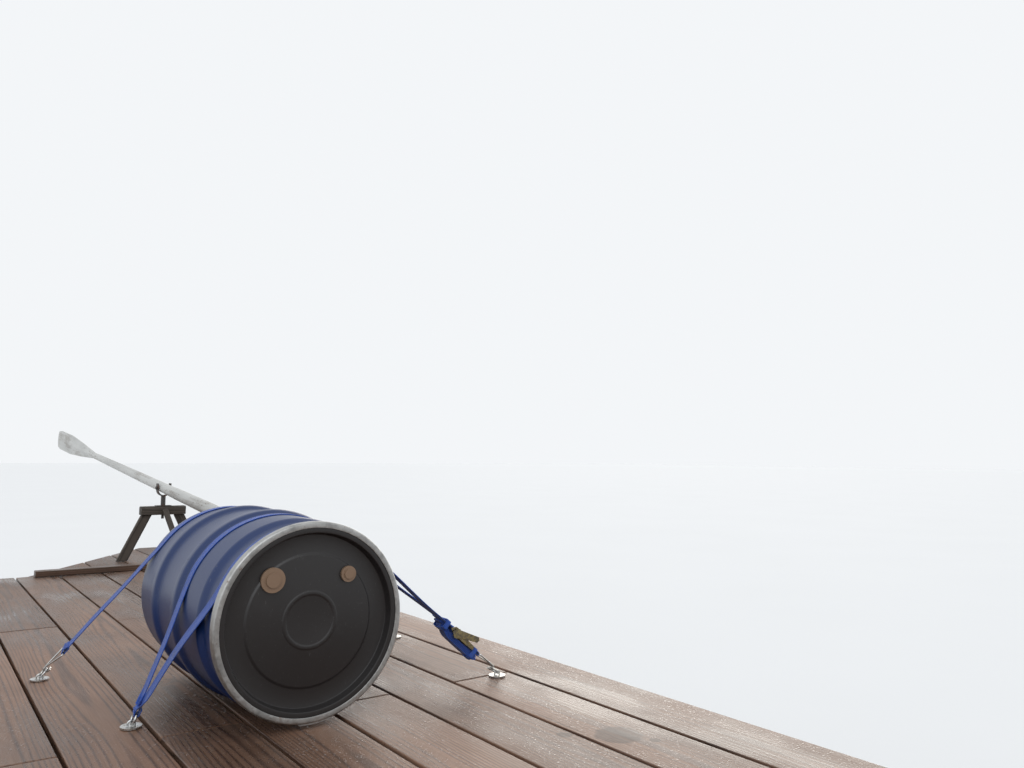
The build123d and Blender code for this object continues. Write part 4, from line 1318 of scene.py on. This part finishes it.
class RAFT_OT_trestle(bpy.types.Operator):
    """Builds the trestle and coats the rowlock on it"""

    bl_idname = "raft.trestle"
    bl_label = "Trestle and rowlock"

    def execute(self, context):
        timber("trestle_rail", "trestle_beam", "trestle timber", ease=0.005,
               step=0.07, wander=0.003, seed=31)
        timber("trestle_struts", "trestle_legs", "trestle timber", ease=0.004,
               step=0.05, wander=0.003, seed=32)
        coat("dark iron", "rowlock_socket", "rowlock_yoke", "pivot_bolt")
        return {"FINISHED"}


class RAFT_OT_oar(bpy.types.Operator):
    """Builds the sweep oar"""

    bl_idname = "raft.oar"
    bl_label = "Sweep oar"

    def execute(self, context):
        end = -OAR_INBOARD
        start = end + OAR_GRIP
        loom = [(start, 0.0), (start, 0.025), (start + 0.03, 0.036), (start + 0.09, 0.0438),
                (-0.75, 0.0430), (-0.30, 0.0408), (-0.09, 0.0368), (0.09, 0.0368), (0.7, 0.0340),
                (1.3, 0.0305), (OAR_NECK_AT, OAR_NECK_RADIUS), (OAR_NECK_AT, 0.0)]
        shaft = turned(loom, steps=40, soften=0.004, crease_angle=4)
        cut_every(shaft, axis=0, step=0.12)
        oar_piece("oar_shaft", shaft, "oar paint", "oar_loom", crease=40)
        grip = [(end, 0.0), (end, 0.013), (end + 0.008, 0.0215), (end + 0.02, 0.0215),
                (end + 0.035, 0.0187), (end + 0.11, 0.0188), (start, 0.0186), (start, 0.0)]
        handle = turned(grip, steps=32, soften=0.003, crease_angle=6)
        oar_piece("oar_handle", handle, "oar grip wood", "oar_grip", crease=40)
        oar_piece("oar_blade_shape", self.blade(), "oar paint", "oar_blade", crease=50)
        return {"FINISHED"}

    def blade(self):
        """A blade on edge, thick along its middle where the loom's taper runs out."""
        tip_share, tip_rounding = 0.015, 0.016
        spine_share, spine_half, spine_height = 0.74, 0.021, 0.0152
        neck_share, neck_half = 0.05, 0.0265
        bm = bmesh.new()
        bmesh.ops.create_cube(bm, size=2.0)
        bmesh.ops.subdivide_edges(bm, edges=bm.edges, cuts=15, use_grid_fill=True)
        for vert in bm.verts:
            share = (vert.co.x + 1) / 2
            up, out = vert.co.z, vert.co.y
            corner = max(0.0, 1 - (1 - share) / tip_share)
            half = self.half_width(share) - tip_rounding * (1 - math.sqrt(1 - corner ** 2))
            thick = BLADE_THICK / 2 * (0.93 - 0.10 * share) * (1 - 0.55 * abs(up) ** 2.5)
            spine = math.exp(-(up * half / spine_half) ** 2) * spine_height
            spine *= max(0.0, 1 - share / spine_share)
            neck = max(0.0, 1 - share / neck_share)
            round_depth = neck_half * math.sqrt(max(0.04, 1 - up ** 2))
            depth = (thick + spine) * (1 - neck) + round_depth * neck
            x = OAR_NECK_AT + share * (OAR_OUTBOARD - OAR_NECK_AT)
            vert.co = Vector((x, out * depth, up * half))
        bmesh.ops.recalc_face_normals(bm, faces=bm.faces)
        return bm

    def half_width(self, share):
        """Half the blade's width at a share of its length."""
        stops = ((0.0, OAR_NECK_RADIUS), (0.3, 0.34 * BLADE_WIDTH), (0.62, 0.5 * BLADE_WIDTH),
                 (1.0, 0.5 * BLADE_WIDTH))
        for (x0, w0), (x1, w1) in zip(stops, stops[1:]):
            if share <= x1:
                return w0 + (w1 - w0) * (share - x0) / (x1 - x0)
        return stops[-1][1]


class RAFT_OT_studio(bpy.types.Operator):
    """Sets the camera, the lights and the floor at the waterline"""

    bl_idname = "raft.studio"
    bl_label = "Studio"

    def execute(self, context):
        studio = context.scene.raft_studio
        self.camera(context.scene)
        self.floor(context.scene, studio.floor)
        self.world(context.scene, studio.room_light)
        self.lamp(context.scene, "low_light_ahead", *KEY, studio.key_light)
        self.lamp(context.scene, "fill_behind", *FILL, studio.fill_light)
        context.scene.view_settings.view_transform = "Standard"
        return {"FINISHED"}

    def camera(self, scene):
        """The photograph's camera: low over the near boards, a little up and barely rolled."""
        upright = Vector((0, 0, 1))
        level = Vector((math.cos(CAMERA_HEADING), math.sin(CAMERA_HEADING), 0))
        right = level.cross(upright)
        up = upright * math.cos(CAMERA_PITCH) - level * math.sin(CAMERA_PITCH)
        ahead = level * math.cos(CAMERA_PITCH) + upright * math.sin(CAMERA_PITCH)
        rolled_right = (right + up * CAMERA_ROLL).normalized()
        rolled_up = (up - right * CAMERA_ROLL).normalized()
        data = bpy.data.cameras.new("deck_camera")
        data.lens = CAMERA_LENS
        data.sensor_width = 36.0
        data.clip_start = 0.05
        data.clip_end = 500.0
        camera = bpy.data.objects.new("deck_camera", data)
        scene.collection.objects.link(camera)
        turn = Matrix((rolled_right, rolled_up, -ahead)).transposed()
        camera.matrix_world = Matrix.Translation(CAMERA_PLACE) @ turn.to_4x4()
        scene.camera = camera

    def floor(self, scene, colour):
        """A wide pale floor at the waterline."""
        bm = bmesh.new()
        bmesh.ops.create_grid(bm, x_segments=8, y_segments=8, size=FLOOR_HALF)
        bmesh.ops.translate(bm, verts=bm.verts, vec=(0, 0, WATERLINE))
        mesh = bpy.data.meshes.new("floor")
        bm.to_mesh(mesh)
        bm.free()
        made = Finish("studio floor", Roughness=0.9, Specular_IOR_Level=0.2)
        tone = made.noise(made.place(), 0.6)
        made.link(Base_Color=made.blend(tone, colour, dimmed(colour, 0.97)))
        mesh.materials.append(made.material)
        floor = bpy.data.objects.new("floor", mesh)
        scene.collection.objects.link(floor)

    def world(self, scene, strength):
        """Even light, and a pale backdrop for the camera and for what metal mirrors."""
        scene.world = bpy.data.worlds.new("studio")
        scene.world.use_nodes = True
        made = Nodes(scene.world.node_tree)
        made.tree.nodes.clear()
        path = made.node("ShaderNodeLightPath")
        seen = Value(made, path.outputs["Is Camera Ray"])
        for ray in ("Is Glossy Ray", "Is Transmission Ray"):
            seen = seen.most(path.outputs[ray])
        room = {"Color": (0.94, 0.97, 1.0, 1.0), "Strength": strength}
        backdrop = {"Color": (0.90, 0.92, 0.94, 1.0), "Strength": 1.0}
        light, shown = [made.node("ShaderNodeBackground", None, sockets).outputs[0]
                        for sockets in (room, backdrop)]
        mixed = made.node("ShaderNodeMixShader", None, {0: seen, 1: light, 2: shown}).outputs[0]
        made.node("ShaderNodeOutputWorld", None, {"Surface": mixed})

    def lamp(self, scene, name, heading, height, spread, colour, strength):
        """A soft light like the sun's, so that the floor is as bright everywhere."""
        data = bpy.data.lights.new(name, "SUN")
        data.angle = math.radians(spread)
        data.energy = strength
        data.color = colour
        lamp = bpy.data.objects.new(name, data)
        scene.collection.objects.link(lamp)
        heading, height = math.radians(heading), math.radians(height)
        source = Vector((math.cos(heading) * math.cos(height), math.sin(heading) * math.cos(height),
                         math.sin(height)))
        lamp.location = source * LAMPS_AWAY
        lamp.rotation_euler = (-source).to_track_quat("-Z", "Y").to_euler()


class RAFT_PT_panel(bpy.types.Panel):
    """Lists the raft's pieces and its settings"""

    bl_label = "Raft"
    bl_idname = "RAFT_PT_panel"
    bl_space_type = "VIEW_3D"
    bl_region_type = "UI"
    bl_category = "Raft"

    def draw(self, context):
        for operator in OPERATORS:
            self.layout.operator(operator.bl_idname)
        for name in SETTINGS:
            group = getattr(context.scene, name)
            box = self.layout.box()
            for setting in group.__annotations__:
                box.prop(group, setting)


SETTINGS = {"raft_timber": TimberSettings, "raft_drums": DrumSettings,
            "raft_lashing": LashingSettings, "raft_studio": StudioSettings}
OPERATORS = (RAFT_OT_deck, RAFT_OT_frame, RAFT_OT_floats, RAFT_OT_deck_drum, RAFT_OT_lashing,
             RAFT_OT_trestle, RAFT_OT_oar, RAFT_OT_studio)


def register():
    for group in SETTINGS.values():
        bpy.utils.register_class(group)
    for name, group in SETTINGS.items():
        setattr(bpy.types.Scene, name, PointerProperty(type=group))
    for operator in OPERATORS:
        bpy.utils.register_class(operator)
    bpy.utils.register_class(RAFT_PT_panel)


def unregister():
    bpy.utils.unregister_class(RAFT_PT_panel)
    for operator in reversed(OPERATORS):
        bpy.utils.unregister_class(operator)
    for name, group in SETTINGS.items():
        delattr(bpy.types.Scene, name)
        bpy.utils.unregister_class(group)


def main():
    register()
    bpy.ops.raft.studio()
    bpy.ops.raft.deck()
    bpy.ops.raft.frame()
    bpy.ops.raft.floats()
    bpy.ops.raft.deck_drum()
    bpy.ops.raft.lashing()
    bpy.ops.raft.trestle()
    bpy.ops.raft.oar()


if __name__ == "__main__":
    main()
